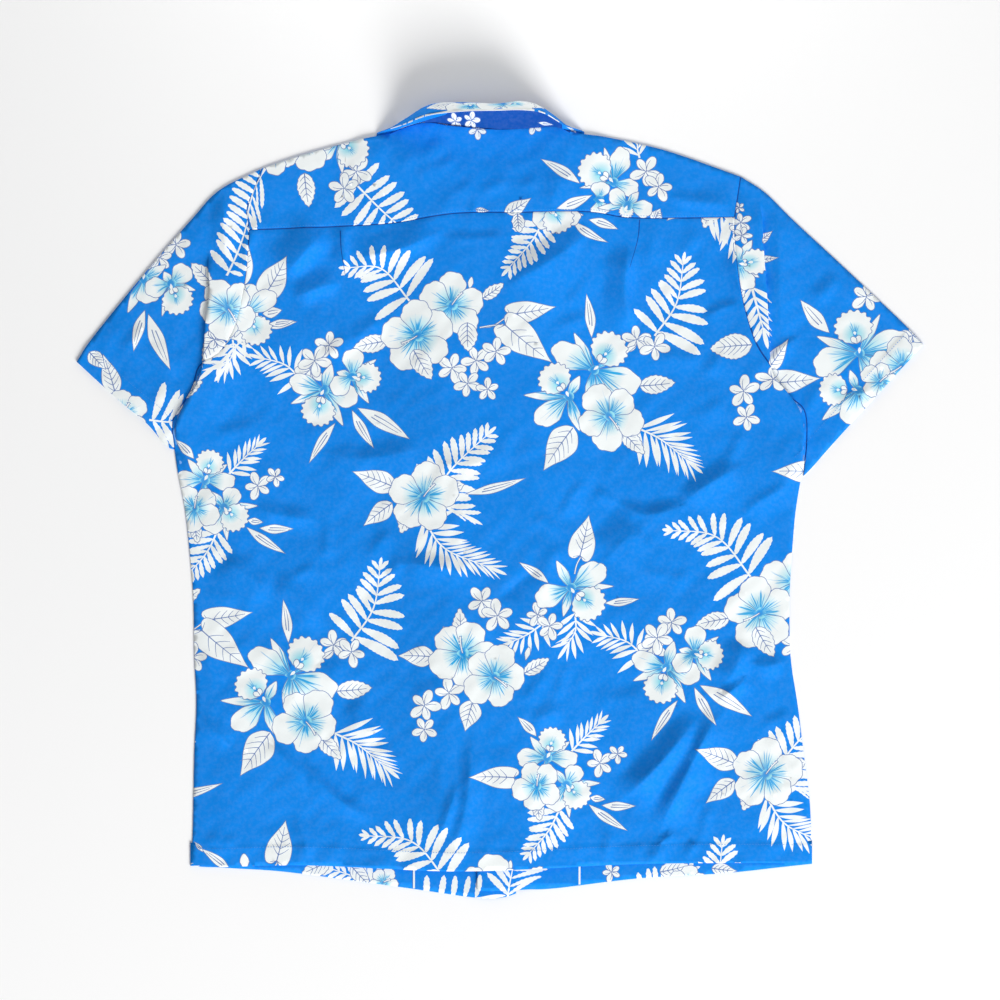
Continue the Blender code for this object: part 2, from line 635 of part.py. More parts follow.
def collar_profile(seam, roll, edge, bow):
    """Points from the neck seam up the stand, round the roll and down the fall to its free edge."""
    points = [seam.lerp(roll, k / STAND_STEPS) for k in range(STAND_STEPS)]
    rise = (edge - roll).normalized()
    outwards = Vector((0, rise.z, -rise.y))
    for k in range(FALL_STEPS + 1):
        t = k / FALL_STEPS
        points.append(roll.lerp(edge, t) + outwards * bow * 4 * t * (1 - t))
    return points


def make_collar(surface):
    seams = [Vector(row[0:3]) for row in COLLAR_SECTIONS]
    rolls = [Vector(row[3:6]) for row in COLLAR_SECTIONS]
    edges = [Vector(row[6:9]) for row in COLLAR_SECTIONS]
    bows = [Vector((row[9], 0, 0)) for row in COLLAR_SECTIONS]
    lines = [curve(points, even_parts=COLLAR_PARTS) for points in (seams, rolls, edges, bows)]
    bm = bmesh.new()
    rows = []
    for seam, roll, edge, bow in zip(*lines):
        profile = collar_profile(seam, roll, edge, bow.x)
        rows.append([bm.verts.new(Vector((p.x, p.y, max(p.z, LOW))) * MM) for p in profile])
    for row, after in zip(rows, rows[1:]):
        for i in range(len(row) - 1):
            bm.faces.new((row[i], row[i + 1], after[i + 1], after[i]))
    return finish_cloth(bm, "collar", surface)


def make_button(number, y, surface):
    """A dished disc on the outer side of the placket, its face on the surface."""
    side = (BUTTON_RADIUS, BUTTON_THICKNESS / 2)
    back = ((BUTTON_BACK_RADIUS, BUTTON_THICKNESS), (0, BUTTON_THICKNESS))
    bm = bmesh.new()
    line = [bm.verts.new((r * MM, 0, z * MM)) for r, z in (*BUTTON_DISH, side, *back)]
    profile = line + [bm.edges.new(pair) for pair in zip(line, line[1:])]
    centre = {"axis": (0, 0, 1), "cent": (0, 0, 0)}
    bmesh.ops.spin(bm, geom=profile, **centre, angle=math.tau, steps=BUTTON_SIDES, use_merge=True)
    bmesh.ops.remove_doubles(bm, verts=bm.verts, dist=0.00001)
    bmesh.ops.recalc_face_normals(bm, faces=bm.faces)
    piece = finish(bm, f"button_{number}", surface)
    piece.data.set_sharp_from_angle(angle=math.radians(40))
    piece.location = (centre_front(y) * MM, y * MM, 0)
    return piece


def main():
    for old in list(bpy.data.objects):
        bpy.data.objects.remove(old, do_unlink=True)
    cotton = material("printed_cotton", BLUE, 0.85)
    plastic = material("button_plastic", BUTTON_BLUE, 0.35)
    make_back(cotton)
    make_yoke(cotton)
    make_sleeve("sleeve_left", sleeve_top_left, CUFF_LEFT, armhole_left, cotton)
    make_sleeve("sleeve_right", sleeve_top_right, CUFF_RIGHT, armhole_right, cotton)
    make_front("front_left", -1, ROLL_LEFT, LAPEL_LEFT, FRONT_EDGE_LEFT, FRONT_HEM_LEFT, cotton)
    make_front("front_right", 1, ROLL_RIGHT, LAPEL_RIGHT, FRONT_EDGE_RIGHT, FRONT_HEM_RIGHT, cotton)
    make_collar(cotton)
    for number, y in enumerate(BUTTON_YS, 1):
        make_button(number, y, plastic)


main()
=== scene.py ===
import math

import bmesh
import bpy
import numpy as np
from mathutils import Matrix, Vector, noise
from mathutils.geometry import delaunay_2d_cdt


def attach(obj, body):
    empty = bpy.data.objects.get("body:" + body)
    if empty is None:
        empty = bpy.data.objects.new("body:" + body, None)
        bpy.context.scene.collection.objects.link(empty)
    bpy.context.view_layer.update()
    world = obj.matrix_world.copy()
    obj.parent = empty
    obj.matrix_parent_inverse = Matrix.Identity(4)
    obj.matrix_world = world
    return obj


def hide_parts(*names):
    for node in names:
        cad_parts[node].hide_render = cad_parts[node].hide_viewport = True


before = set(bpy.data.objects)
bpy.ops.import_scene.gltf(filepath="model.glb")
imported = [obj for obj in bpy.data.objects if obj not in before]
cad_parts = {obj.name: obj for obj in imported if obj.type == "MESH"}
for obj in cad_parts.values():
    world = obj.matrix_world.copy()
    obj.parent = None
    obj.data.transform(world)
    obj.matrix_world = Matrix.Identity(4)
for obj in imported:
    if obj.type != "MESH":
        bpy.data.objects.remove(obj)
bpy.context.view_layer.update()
mm = 0.001

# All tables are in mm, in the plan of the shirt as it lies: x right, y up towards the collar.
cloth = {
    "thickness": 0.5,
    "low": 0.5,  # middle of a layer on the floor
    "high": 1.8,  # middle of the layer above it
    "layer": 1.3,
    "grid": 4.6,  # between mesh points of the top layer
    "wideGrid": 5.5,  # on the underside
    "shellGrid": 6.0,  # on the back's plain inner side
    "shellSink": (1.3, 12.0),  # how much deeper that side lies, and over what width at its edge
    "rowStep": 0.866,  # between the rows of a grid, as a share of its step
    "rowGap": 1.3,  # a grid stays this clear of a row of set points
    "rowRoom": 1.2,  # a row stays this far inside its panel
    "rowFold": 2.4,  # folds above this have rows of their own
    "sink": -0.6,  # the lowest that the folds let the back go
    "edgeStep": 5.0,  # between the points of an outline
    "loft": 1.4,  # how far the back stands clear of the fronts
    "loftWidth": 60,
    "edgeFade": 15,  # folds die out this near a folded edge
    "ripple": 1.5,  # height of the faint unevenness between the folds
}
outline = {
    "underarmLeft": (-325.5, 50.5),
    "underarmRight": (303.2, 24.0),
    "armholeLeft": (
        (-238.5, 331), (-246.5, 309), (-253.3, 292), (-251, 270), (-252, 245), (-254.5, 220),
        (-264, 177), (-281, 146), (-300.5, 134), (-307, 114), (-317.5, 95), (-327.5, 78),
    ),
    "armholeRight": (
        (240.5, 323), (237.5, 303), (234.5, 282.5), (234.5, 258), (240.5, 211),
        (248, 179), (257, 150), (271, 126), (286, 106), (304, 90), (306.5, 60),
    ),
    "sideLeft": (
        (-321.5, 24), (-314.5, -12), (-309.5, -60), (-306.5, -100), (-305.5, -156), (-303.5, -204),
        (-305.5, -252), (-306.5, -300), (-307.5, -340), (-309.5, -365.5),
    ),
    "sideRight": (
        (301.5, 24), (295.5, -12), (291.5, -60), (289.5, -100), (290.5, -156), (297.5, -204),
        (303.5, -252), (309.5, -300), (311.3, -340), (312.0, -363.5),
    ),
    "backHem": (
        (-309.5, -365.5), (-282.5, -367), (-196.5, -365), (-53.5, -370.5), (49.5, -367.5),
        (132.5, -364), (240.5, -362.5), (312.0, -363.5),
    ),
    "frontHemLeft": (
        (-309.5, -365.5), (-266.5, -368), (-210.5, -372), (-112.5, -385), (-56.5, -393),
        (-36, -396), (-13, -398), (5, -396.5), (16, -393),
    ),
    "frontHemRight": (
        (312.0, -363.5), (279.5, -367), (223.5, -373), (139.5, -378), (55.5, -388),
        (28, -389), (5, -390), (-13, -390.5), (-22.5, -390),
    ),
    "shoulderLeft": ((-238.5, 331), (-196.5, 345), (-140.5, 360), (-113, 365.3)),
    "shoulderRight": ((76, 366.5), (111.5, 361.5), (167.5, 348.5), (240.5, 323)),
    "neckSeam": (
        (-110, 366.5), (-95, 372.5), (-73.5, 377.5), (-48, 374), (-3.5, 370.5),
        (36, 372.5), (58, 373), (70, 367.5),
    ),
    "yokeSeam": (
        (-251, 270), (-160, 273.5), (-105.5, 277), (-45.5, 286.3), (22, 287.5),
        (89.5, 288), (134.5, 282), (234.5, 282.5),
    ),
    "frontYokeLeft": ((-247.5, 302.5), (-98, 341)),
    "frontYokeRight": ((58, 341), (237.5, 303)),
    "sleeveTopLeft": (
        (-238.5, 331), (-280.5, 309.5), (-308.5, 280), (-350.5, 232), (-406.5, 163), (-423, 138),
    ),
    "sleeveTopRight": (
        (240.5, 323), (265.5, 306.5), (293.5, 279), (349.5, 227), (405.5, 174), (423, 155),
    ),
    "cuffLeft": ((-423, 138), (-381.5, 100), (-352.5, 76), (-334.5, 54.5), (-325.5, 50.5)),
    "cuffRight": ((423, 155), (341.5, 66), (311, 31.5), (303.2, 24.0)),
    "frontEdgeLeft": ((16, -393), (8, 206)),
    "frontEdgeRight": ((-22.5, -390), (-30, 206)),
    "neckPoint": (-14.0, 224.0),
    "rollLeft": ((-23, 239), (-88, 339)),
    "rollRight": ((-7, 239), (48, 339)),
    "lapelLeft": ((-100, 316), (-117, 283), (-72, 250)),
    "lapelRight": ((60, 316), (77, 283), (34, 250)),
    "collarZone": (
        (-14, 214), (42, 232), (84, 274), (101, 297), (95, 374), (-135, 374), (-141, 297),
        (-124, 274), (-70, 232),
    ),
}
tucks = {
    "drop": 4.0,  # width of the steep side
    "overhang": 4.5,  # how far the crest leans over it
    "lean": 16.0,  # the cloth leans over this width
    "start": 30.0,  # it rises over this length
    "end": 40.0,  # and stops leaning over this one
    "rows": (0, 1.3, 2.7, 4.0, -3.5),  # of mesh points beside the crest
    "left": (-1, 5.0, 52, (
        (-289, 252), (-288, 236), (-285, 210), (-289.5, 175),
        (-291.5, 142), (-298, 116), (-320, 76), (-319.5, 52),
    )),
    "right": (1, 5.0, 46, (
        (258.5, 304), (257.5, 280), (258.5, 250), (262, 200),
        (264.5, 155), (268, 126), (296, 86), (299.5, 30),
    )),
}
placket = {
    "centre": ((-4, -396), (-14, 222)),
    "lift": 2.3,  # by the buttons under it
    "slope": (9, 32),  # it falls between these distances from the centre
    "overlapSlope": (2, 26),  # the right front comes down beside the left one's edge
    "vSlope": (228, 256),  # both end between these heights
    "zoneRamp": 14,  # width of the rise around the collar's leaves
    "rise": (6.4, 34, 120, 232, 282),  # height, widths, and the heights where it ends
    "neckRise": (1.35, -20, 125, 150, 212, 238),
}
foldForm = {
    "crest": 0.7,  # half width of the flat top
    "light": 1.6,  # the slope towards the light is this much wider
    "power": 1.5,  # and hollow by this
    "ends": 0.3,  # a fold dies out over this share of its length
}
# Each fold: its height (below 0 is a trough), the widths of its left and right slopes, and its places as in the print
folds = (
    (9.0, 30, 12, 283, 279, 301, 258, 327, 230), (6.0, 20, 9, 294, 298, 318, 289, 343, 282),
    (3.6, 14, 4, 346, 274, 344.5, 248, 342, 226), (5.8, 22, 10, 352, 258, 400, 250, 446, 229),
    (3.0, 9, 14, 441, 239, 475, 240, 512, 238), (2.0, 9, 9, 442, 214, 455, 195, 478, 182),
    (1.3, 4, 6, 469, 231, 474, 208, 474, 184), (1.7, 11, 12, 392, 170, 422, 153, 455, 142),
    (1.6, 9, 12, 413, 180, 435, 168, 462, 159), (4.3, 14, 14, 227, 262, 225, 230, 224, 190),
    (2.3, 9, 7, 250, 285, 248, 250, 262, 215), (7.4, 22, 32, 500, 290, 548, 263, 602, 226),
    (8.4, 22, 8, 636, 332, 625, 296, 629, 244), (2.3, 11, 9, 650, 264, 653, 242, 648, 222),
    (3.6, 12, 8, 660, 196, 700, 203, 738, 205), (4.3, 17, 18, 782, 344, 779, 262, 777, 190),
    (2.0, 7, 8, 786, 268, 783, 250, 781, 232), (2.6, 6, 8, 770, 372, 780, 350, 800, 337),
    (1.7, 6, 7, 786, 327, 790, 317, 797, 305), (2.8, 7, 12, 705, 318, 722, 309, 745, 303),
    (2.9, 9, 5, 743, 304, 738, 277, 734, 250), (2.3, 9, 10, 706, 378, 716, 362, 730, 352),
    (2.2, 9, 14, 560, 308, 580, 288, 600, 262), (1.7, 8, 9, 563, 330, 574, 322, 590, 316),
    (2.6, 14, 12, 548, 206, 557, 190, 556, 171), (1.6, 6, 9, 480, 193, 498, 186, 512, 178),
    (1.4, 5, 7, 522, 190, 529, 185, 537, 181), (3.7, 15, 26, 322, 452, 365, 459, 430, 447),
    (2.9, 16, 20, 430, 461, 468, 466, 512, 449), (5.0, 17, 24, 222, 556, 250, 577, 273, 602),
    (4.2, 14, 14, 276, 571, 300, 600, 321, 632), (3.6, 13, 10, 255, 508, 290, 517, 320, 520),
    (1.6, 7, 7, 328, 562, 327, 541, 330, 520), (2.0, 8, 9, 366, 562, 380, 545, 392, 528),
    (1.7, 6, 7, 290, 580, 303, 573, 319, 566), (3.7, 13, 16, 400, 563, 440, 567, 477, 577),
    (2.2, 7, 8, 388, 579, 396, 567, 404, 556), (1.7, 10, 14, 200, 430, 230, 433, 262, 424),
    (5.0, 11, 26, 617, 503, 647, 515, 690, 504), (5.8, 15, 15, 680, 505, 712, 482, 745, 464.5),
    (2.0, 9, 10, 728, 465, 735, 450, 743, 430), (2.6, 9, 13, 742, 518, 760, 501, 795, 484),
    (2.3, 6, 9, 562, 520, 570, 498, 586, 480), (2.0, 6, 8, 596, 488, 606, 497, 619, 504),
    (5.8, 28, 34, 606, 561, 624, 541, 645, 521), (1.7, 9, 11, 636, 571, 655, 574, 690, 580),
    (1.6, 7, 9, 536, 514, 548, 524, 561, 530), (2.3, 15, 14, 540, 602, 548, 570, 558, 536),
    (-2.8, 6, 18, 502, 599, 520, 582, 542, 567), (3.6, 14, 11, 199, 718, 214, 731, 233, 744),
    (2.6, 11, 9, 199, 651, 210, 668, 223, 689), (3.5, 8, 9, 266, 742, 292, 764, 309, 796),
    (4.6, 9, 11, 300, 757, 332, 794, 374, 822), (4.3, 19, 9, 350, 698, 360, 722, 379, 743),
    (2.2, 11, 10, 372, 742, 388, 756, 405, 765), (3.1, 20, 10, 329, 659, 335, 675, 345, 692),
    (3.7, 10, 13, 455, 852, 468, 797, 473, 734), (3.0, 7, 7, 440, 838, 449, 812, 459, 781),
    (2.6, 8, 10, 296, 815, 304, 838, 309, 863), (1.7, 9, 10, 204, 837, 222, 843, 243, 838),
    (1.6, 7, 7, 446, 790, 440, 772, 437, 756), (9.4, 18, 20, 619, 803, 658, 765, 703, 711),
    (8.4, 14, 18, 660, 834, 668, 811, 688, 771, 712, 724, 728, 710), (5.8, 21, 12, 722, 686, 737, 665, 742, 638),
    (4.1, 9, 9, 717, 701, 735, 688, 749, 675), (3.0, 11, 9, 750, 662, 765, 667, 786, 660),
    (2.9, 5, 7, 657, 846, 664, 840, 677, 832), (3.1, 13, 9, 652, 864, 658, 853, 663, 842),
    (2.2, 6, 8, 683, 825, 692, 810, 703, 796), (2.0, 6, 8, 700, 841, 705, 825, 708, 805),
    (1.7, 5, 6, 687, 862, 691, 850, 697, 838), (2.0, 6, 9, 606, 863, 607, 846, 611, 829),
    (1.7, 7, 9, 523, 706, 535, 690, 549, 671), (1.4, 7, 8, 556, 700, 562, 680, 567, 659),
    (2.3, 12, 11, 530, 718, 545, 716, 563, 706), (2.0, 9, 10, 762, 722, 775, 722, 793, 712),
    (2.3, 11, 12, 325, 362, 340, 346, 356, 330), (2.8, 12, 12, 352, 342, 366, 330, 385, 317),
    (1.6, 14, 12, 200, 600, 230, 596, 258, 606), (1.4, 12, 14, 410, 700, 430, 690, 455, 686),
    (1.6, 12, 10, 500, 640, 512, 655, 516, 676), (1.4, 15, 14, 590, 690, 620, 700, 652, 694),
    (1.4, 10, 12, 330, 880, 360, 868, 395, 862), (2.2, 12, 12, 150, 340, 166, 356, 178, 380),
    (2.0, 10, 12, 120, 352, 136, 340, 146, 322), (1.7, 9, 9, 178, 232, 188, 222, 196, 208),
    (2.2, 12, 10, 812, 300, 828, 290, 842, 276), (2.2, 11, 10, 800, 420, 812, 402, 820, 380),
    (2.2, 10, 11, 840, 410, 856, 396, 880, 388), (2.3, 7, 6, 806, 458, 803, 440, 806, 420),
    (1.7, 10, 12, 700, 232, 690, 246, 672, 256), (1.7, 11, 12, 660, 352, 680, 360, 704, 356),
    (1.7, 10, 12, 690, 420, 708, 412, 724, 398),
)


def smooth(t):
    t = np.clip(t, 0.0, 1.0)
    return t * t * (3 - 2 * t)


def fade(value, full, empty):  # 1 up to full, smoothly down to 0 at empty
    return 1 - smooth((value - full) / (empty - full))


def slope(value, full, empty):  # the same in a straight line
    return np.clip((empty - value) / (empty - full), 0.0, 1.0)


def through(points, step=cloth["edgeStep"], parts=0):  # a smooth line through the points, in steps or in parts
    ends = np.array(points, float)
    padded = np.vstack([2 * ends[0] - ends[1], ends, 2 * ends[-1] - ends[-2]])
    line = [ends[0]]
    for before, start, end, after in zip(padded, padded[1:], padded[2:], padded[3:]):
        count = parts or max(1, round(float(np.linalg.norm(end - start)) / step))
        for t in np.arange(1, count + 1) / count:
            square = 2 * before - 5 * start + 4 * end - after
            cube = 3 * start - before - 3 * end + after
            line.append(0.5 * (2 * start + (end - before) * t + square * t**2 + cube * t**3))
    return np.array(line)


def toLine(points, line):  # distance, side (above 0 to the left) and how far along
    best = np.full(len(points), 1e9)
    side = np.zeros(len(points))
    along = np.zeros(len(points))
    passed = 0.0
    for start, end in zip(line, line[1:]):
        run = end - start
        length = max(float(np.hypot(*run)), 1e-9)
        t = np.clip(((points - start) @ run) / length**2, 0, 1)
        gap = points - start - t[:, None] * run
        distance = np.hypot(gap[:, 0], gap[:, 1])
        closer = distance < best
        best = np.where(closer, distance, best)
        side = np.where(closer, run[0] * gap[:, 1] - run[1] * gap[:, 0], side)
        along = np.where(closer, passed + t * length, along)
        passed += length
    return best, side, along


def inside(points, polygon):
    crossings = np.zeros(len(points), int)
    x, y = points[:, 0], points[:, 1]
    for a, b in zip(polygon, np.roll(polygon, -1, axis=0)):
        if a[1] != b[1]:
            cut = ((a[1] > y) != (b[1] > y)) & (x < a[0] + (y - a[1]) * (b[0] - a[0]) / (b[1] - a[1]))
            crossings += cut
    return crossings % 2 == 1


def area(polygon):
    after = np.roll(polygon, -1, axis=0)
    return 0.5 * float(np.sum(polygon[:, 0] * after[:, 1] - after[:, 0] * polygon[:, 1]))


def anticlockwise(polygon):
    return polygon if area(polygon) > 0 else polygon[::-1]


def lineLength(line):
    return np.sum(np.hypot(*np.diff(line, axis=0).T))


def sideways(line):  # unit steps to the left of a line
    run = np.gradient(line, axis=0)
    return np.column_stack([-run[:, 1], run[:, 0]]) / np.hypot(run[:, 0], run[:, 1])[:, None]


def beside(line, distance):  # a line moved to the left of its direction
    return line + sideways(line) * distance


def between(line, start, end):
    first, last = (int(np.argmin(np.hypot(*(line - np.array(p)).T))) for p in (start, end))
    return line[first : last + 1]


def moved(polygon, distance):  # a closed outline with its sides moved outwards
    before, after = np.roll(polygon, 1, axis=0), np.roll(polygon, -1, axis=0)
    runs = [polygon - before, after - polygon]
    normals = [np.stack([r[:, 1], -r[:, 0]], 1) / np.maximum(np.hypot(*r.T), 1e-6)[:, None] for r in runs]
    middle = normals[0] + normals[1]
    middle /= np.maximum(np.hypot(*middle.T), 1e-6)[:, None]
    share = np.maximum(np.sum(middle * normals[0], axis=1), 0.45)
    return polygon + middle * (distance / share)[:, None]


printCorner = (-500.5, 500.0)  # places in the folds and the print are mm from here, right and down


def fromCorner(across, down):
    return [(x + printCorner[0], printCorner[1] - y) for x, y in zip(across, down)]


print("cloth: reading the seams and folds")
seams = {name: through(points) for name, points in outline.items() if isinstance(points[0], tuple)}
seams["armholeLeft"] = through(outline["armholeLeft"] + (outline["underarmLeft"],))
seams["armholeRight"] = through(outline["armholeRight"] + (outline["underarmRight"],))
seams["sideLeft"] = through((outline["underarmLeft"],) + outline["sideLeft"])
seams["sideRight"] = through((outline["underarmRight"],) + outline["sideRight"])
zone = np.array(outline["collarZone"], float)
closedEdges = [through(outline[name], 14) for name in (
    "sleeveTopLeft", "shoulderLeft", "shoulderRight", "sleeveTopRight",
)] + [seams["sideLeft"][::3], seams["sideRight"][::3]]
tuckLines = [(*tucks[side][:3], through(tucks[side][3], 9)) for side in ("left", "right")]
foldLines = [(through(fromCorner(places[::2], places[1::2]), 10), *sizes) for *sizes, places in (
    (*fold[:3], fold[3:]) for fold in folds
)]


def atHeight(line, y):
    (x0, y0), (x1, y1) = line
    return x0 + (x1 - x0) * (y - y0) / (y1 - y0)


def zoneLift(p):
    outside = np.where(inside(p, zone), 0.0, toLine(p, np.vstack([zone, zone[:1]]))[0])
    return cloth["layer"] * slope(outside, 0, placket["zoneRamp"])


def placketLift(p):
    across = np.abs(p[:, 0] - atHeight(placket["centre"], p[:, 1]))
    return placket["lift"] * slope(across, *placket["slope"]) * slope(p[:, 1], *placket["vSlope"])


def lowHeight(p):
    return cloth["low"] + np.maximum(placketLift(p), zoneLift(p))


def foldHeight(p):
    ridge, trough = np.zeros(len(p)), np.zeros(len(p))
    for line, height, leftWidth, rightWidth in foldLines:
        distance, side, along = toLine(p, line)
        share = along / lineLength(line)
        dark = side > 0 if height > 0 else side < 0  # the slope away from the light is the straight one
        width = np.where(side > 0, leftWidth, rightWidth) * np.where(dark, 1.0, foldForm["light"])
        t = np.clip((distance - foldForm["crest"]) / (width - foldForm["crest"]), 0, 1)
        ends = smooth(share / foldForm["ends"]) * smooth((1 - share) / foldForm["ends"])
        form = height * ends * np.where(dark, 1 - t, (1 - t) ** foldForm["power"])
        ridge, trough = np.maximum(ridge, form), np.minimum(trough, form)
    return ridge + trough


def ripples(p):  # a faint unevenness of three sizes
    rough = [
        noise.noise(Vector((x / 60, y / 42, 1.7))) + 0.55 * noise.noise(Vector(((x + y) / 34, (x - y) / 15, 5.1)))
        + 0.16 * noise.noise(Vector(((x - y) / 14, (x + y) / 8, 9.3))) for x, y in p
    ]
    return cloth["ripple"] * np.array(rough)


sewn = {
    "lines": ("yokeSeam", "armholeLeft", "armholeRight", "neckSeam"),
    "dip": 0.5,  # a seam lies this much lower
    "reach": 1.7,  # to each side of it
    "shade": 1.3,  # width of the line of painted shade along a seam
    "hem": 20.0,
    "cuff": 22.0,
    "hemRise": 0.45,  # the hem's double cloth stands this much higher
    "hemEdge": 1.6,  # over this width
    "turnUp": 0.75,  # from the front to its turned-up hem
    "turnIn": 3.0,  # how much deeper that hem is than the back's
    "yokeRow": 2.0,  # from the yoke's seam to its stitches
    "sideDip": (0.6, 7.0),  # the back's sides lie lower, and over what width
    "rowIn": 1.5,  # from a hem's inner edge to its stitches
    "pitch": 2.8,  # of the stitches
    "pleats": (((341, 342, 346), (231, 250, 276)), ((640, 638, 630), (220, 240, 268))),  # across and down; painted shade runs along these pleat lines
    "stitch": (1.0, 0.26, 0.2),  # half sizes
}


def topPlaces(p):  # where the top layer's plan points lie
    fromEdge = np.min([toLine(p, line)[0] for line in closedEdges], axis=0)
    clearEdge = smooth(fromEdge / cloth["edgeFade"])
    rise, full, empty, low, high = placket["rise"]
    across = np.abs(p[:, 0] - atHeight(placket["centre"], p[:, 1]))
    stack = rise * fade(across, full, empty) * fade(p[:, 1], low, high)
    neckRise, neckX, full, empty, low, high = placket["neckRise"]
    neck = neckRise * fade(np.abs(p[:, 0] - neckX), full, empty) * (1 - fade(p[:, 1], low, high))
    lift = zoneLift(p)
    under = np.maximum(stack, lift + neck)
    tuck, lean = np.zeros(len(p)), np.zeros((len(p), 2))
    for side, height, width, line in tuckLines:
        distance, turn, along = toLine(p, line)
        outwards = turn * side > 0
        start = smooth(along / tucks["start"])
        tuck = np.maximum(tuck, height * start * (1 - smooth(distance / np.where(outwards, tucks["drop"], width))))
        reach = np.where(outwards, 1 - smooth(distance / tucks["drop"]), 1 - smooth(distance / tucks["lean"]))
        ends = start * smooth((lineLength(line) - along) / tucks["end"])
        lean[:, 0] += side * tucks["overhang"] * reach * ends
    dip = np.min([toLine(p, seams[name])[0] for name in sewn["lines"]], axis=0)
    loose = cloth["loft"] * smooth(fromEdge / cloth["loftWidth"]) + foldHeight(p) + tuck + ripples(p)
    loose = np.maximum(loose, cloth["sink"])
    base = cloth["high"] + lift
    z = base + clearEdge * (loose + cloth["high"] + under - base) - sewn["dip"] * (1 - smooth(dip / sewn["reach"]))
    return np.column_stack([p + lean, z])


# The print
ink = {"ground": 0, "white": 1, "glow": 2, "line": 3, "shade": 4, "inside": 5}
lineWidth = 0.64
motifReach = 105  # no spray reaches further from its place
leafForms = {  # half outlines, as shares of the length and of half the width
    "plain": ((0, 0), (0.08, 0.55), (0.3, 1.0), (0.56, 0.8), (0.8, 0.33), (1, 0)),
    "toothed": ((0, 0), (0.1, 0.62), (0.38, 1.0), (0.66, 0.78), (0.88, 0.32), (1, 0)),
    "heart": ((0.05, 0), (-0.06, 0.32), (-0.05, 0.78), (0.13, 1.04), (0.42, 0.98), (0.7, 0.52), (0.88, 0.18), (1, 0)),
    "blade": ((0, 0), (0.14, 0.45), (0.42, 1.0), (0.74, 0.62), (1, 0)),
    "leaflet": ((0, 0.2), (0.2, 0.62), (0.55, 1.0), (0.86, 0.7), (1, 0)),
    "palmLeaflet": ((0, 0.15), (0.28, 0.75), (0.56, 1.0), (0.8, 0.6), (1, 0)),
}


def turned(points, x, y, heading):
    c, s = math.cos(math.radians(heading)), math.sin(math.radians(heading))
    return points @ np.array([[c, s], [-s, c]]) + (x, y)


def leafOutline(form, length, width, bend=0.0, step=3.0, teeth=0.0):
    half = through([(u * length, v * width) for u, v in leafForms[form]], step)
    if teeth:
        half[1:-1] += np.outer(np.arange(len(half) - 2) % 2, (0.6 * teeth, teeth))
    shape = np.vstack([half, half[-2:0:-1] * (1, -0.92)])
    shape[:, 1] += bend * shape[:, 0] ** 2 / length
    return shape


def petal(length, width, bumps=0, depth=0.0, waist=0.32, pointed=0.0, shift=0.0):
    t = np.linspace(0, 2 * math.pi, max(16, 5 * bumps), endpoint=False)
    share = (1 - np.cos(t)) / 2
    body = np.sign(np.sin(t)) * np.abs(np.sin(t)) ** 0.8 * (waist + (1 - waist) * smooth(share / 0.62))
    shape = np.column_stack([share * length, width * body * (1 - pointed * share**2)])
    if bumps:
        middle = np.array([0.5 * length, 0])
        outer = smooth((share - 0.25) / 0.35)
        scallop = depth * (np.abs(np.cos(bumps * t / 2 + shift)) - 0.6) + 0.5 * depth * np.sin(3 * t + 2 * shift)
        shape = middle + (shape - middle) * (1 + outer * scallop)[:, None]
    return shape


def strip(line, start, end):  # a line of ink that tapers from one width to the other
    offset = sideways(line) * (np.linspace(start, end, len(line))[:, None] / 2)
    return np.vstack([line - offset, (line + offset)[::-1]])


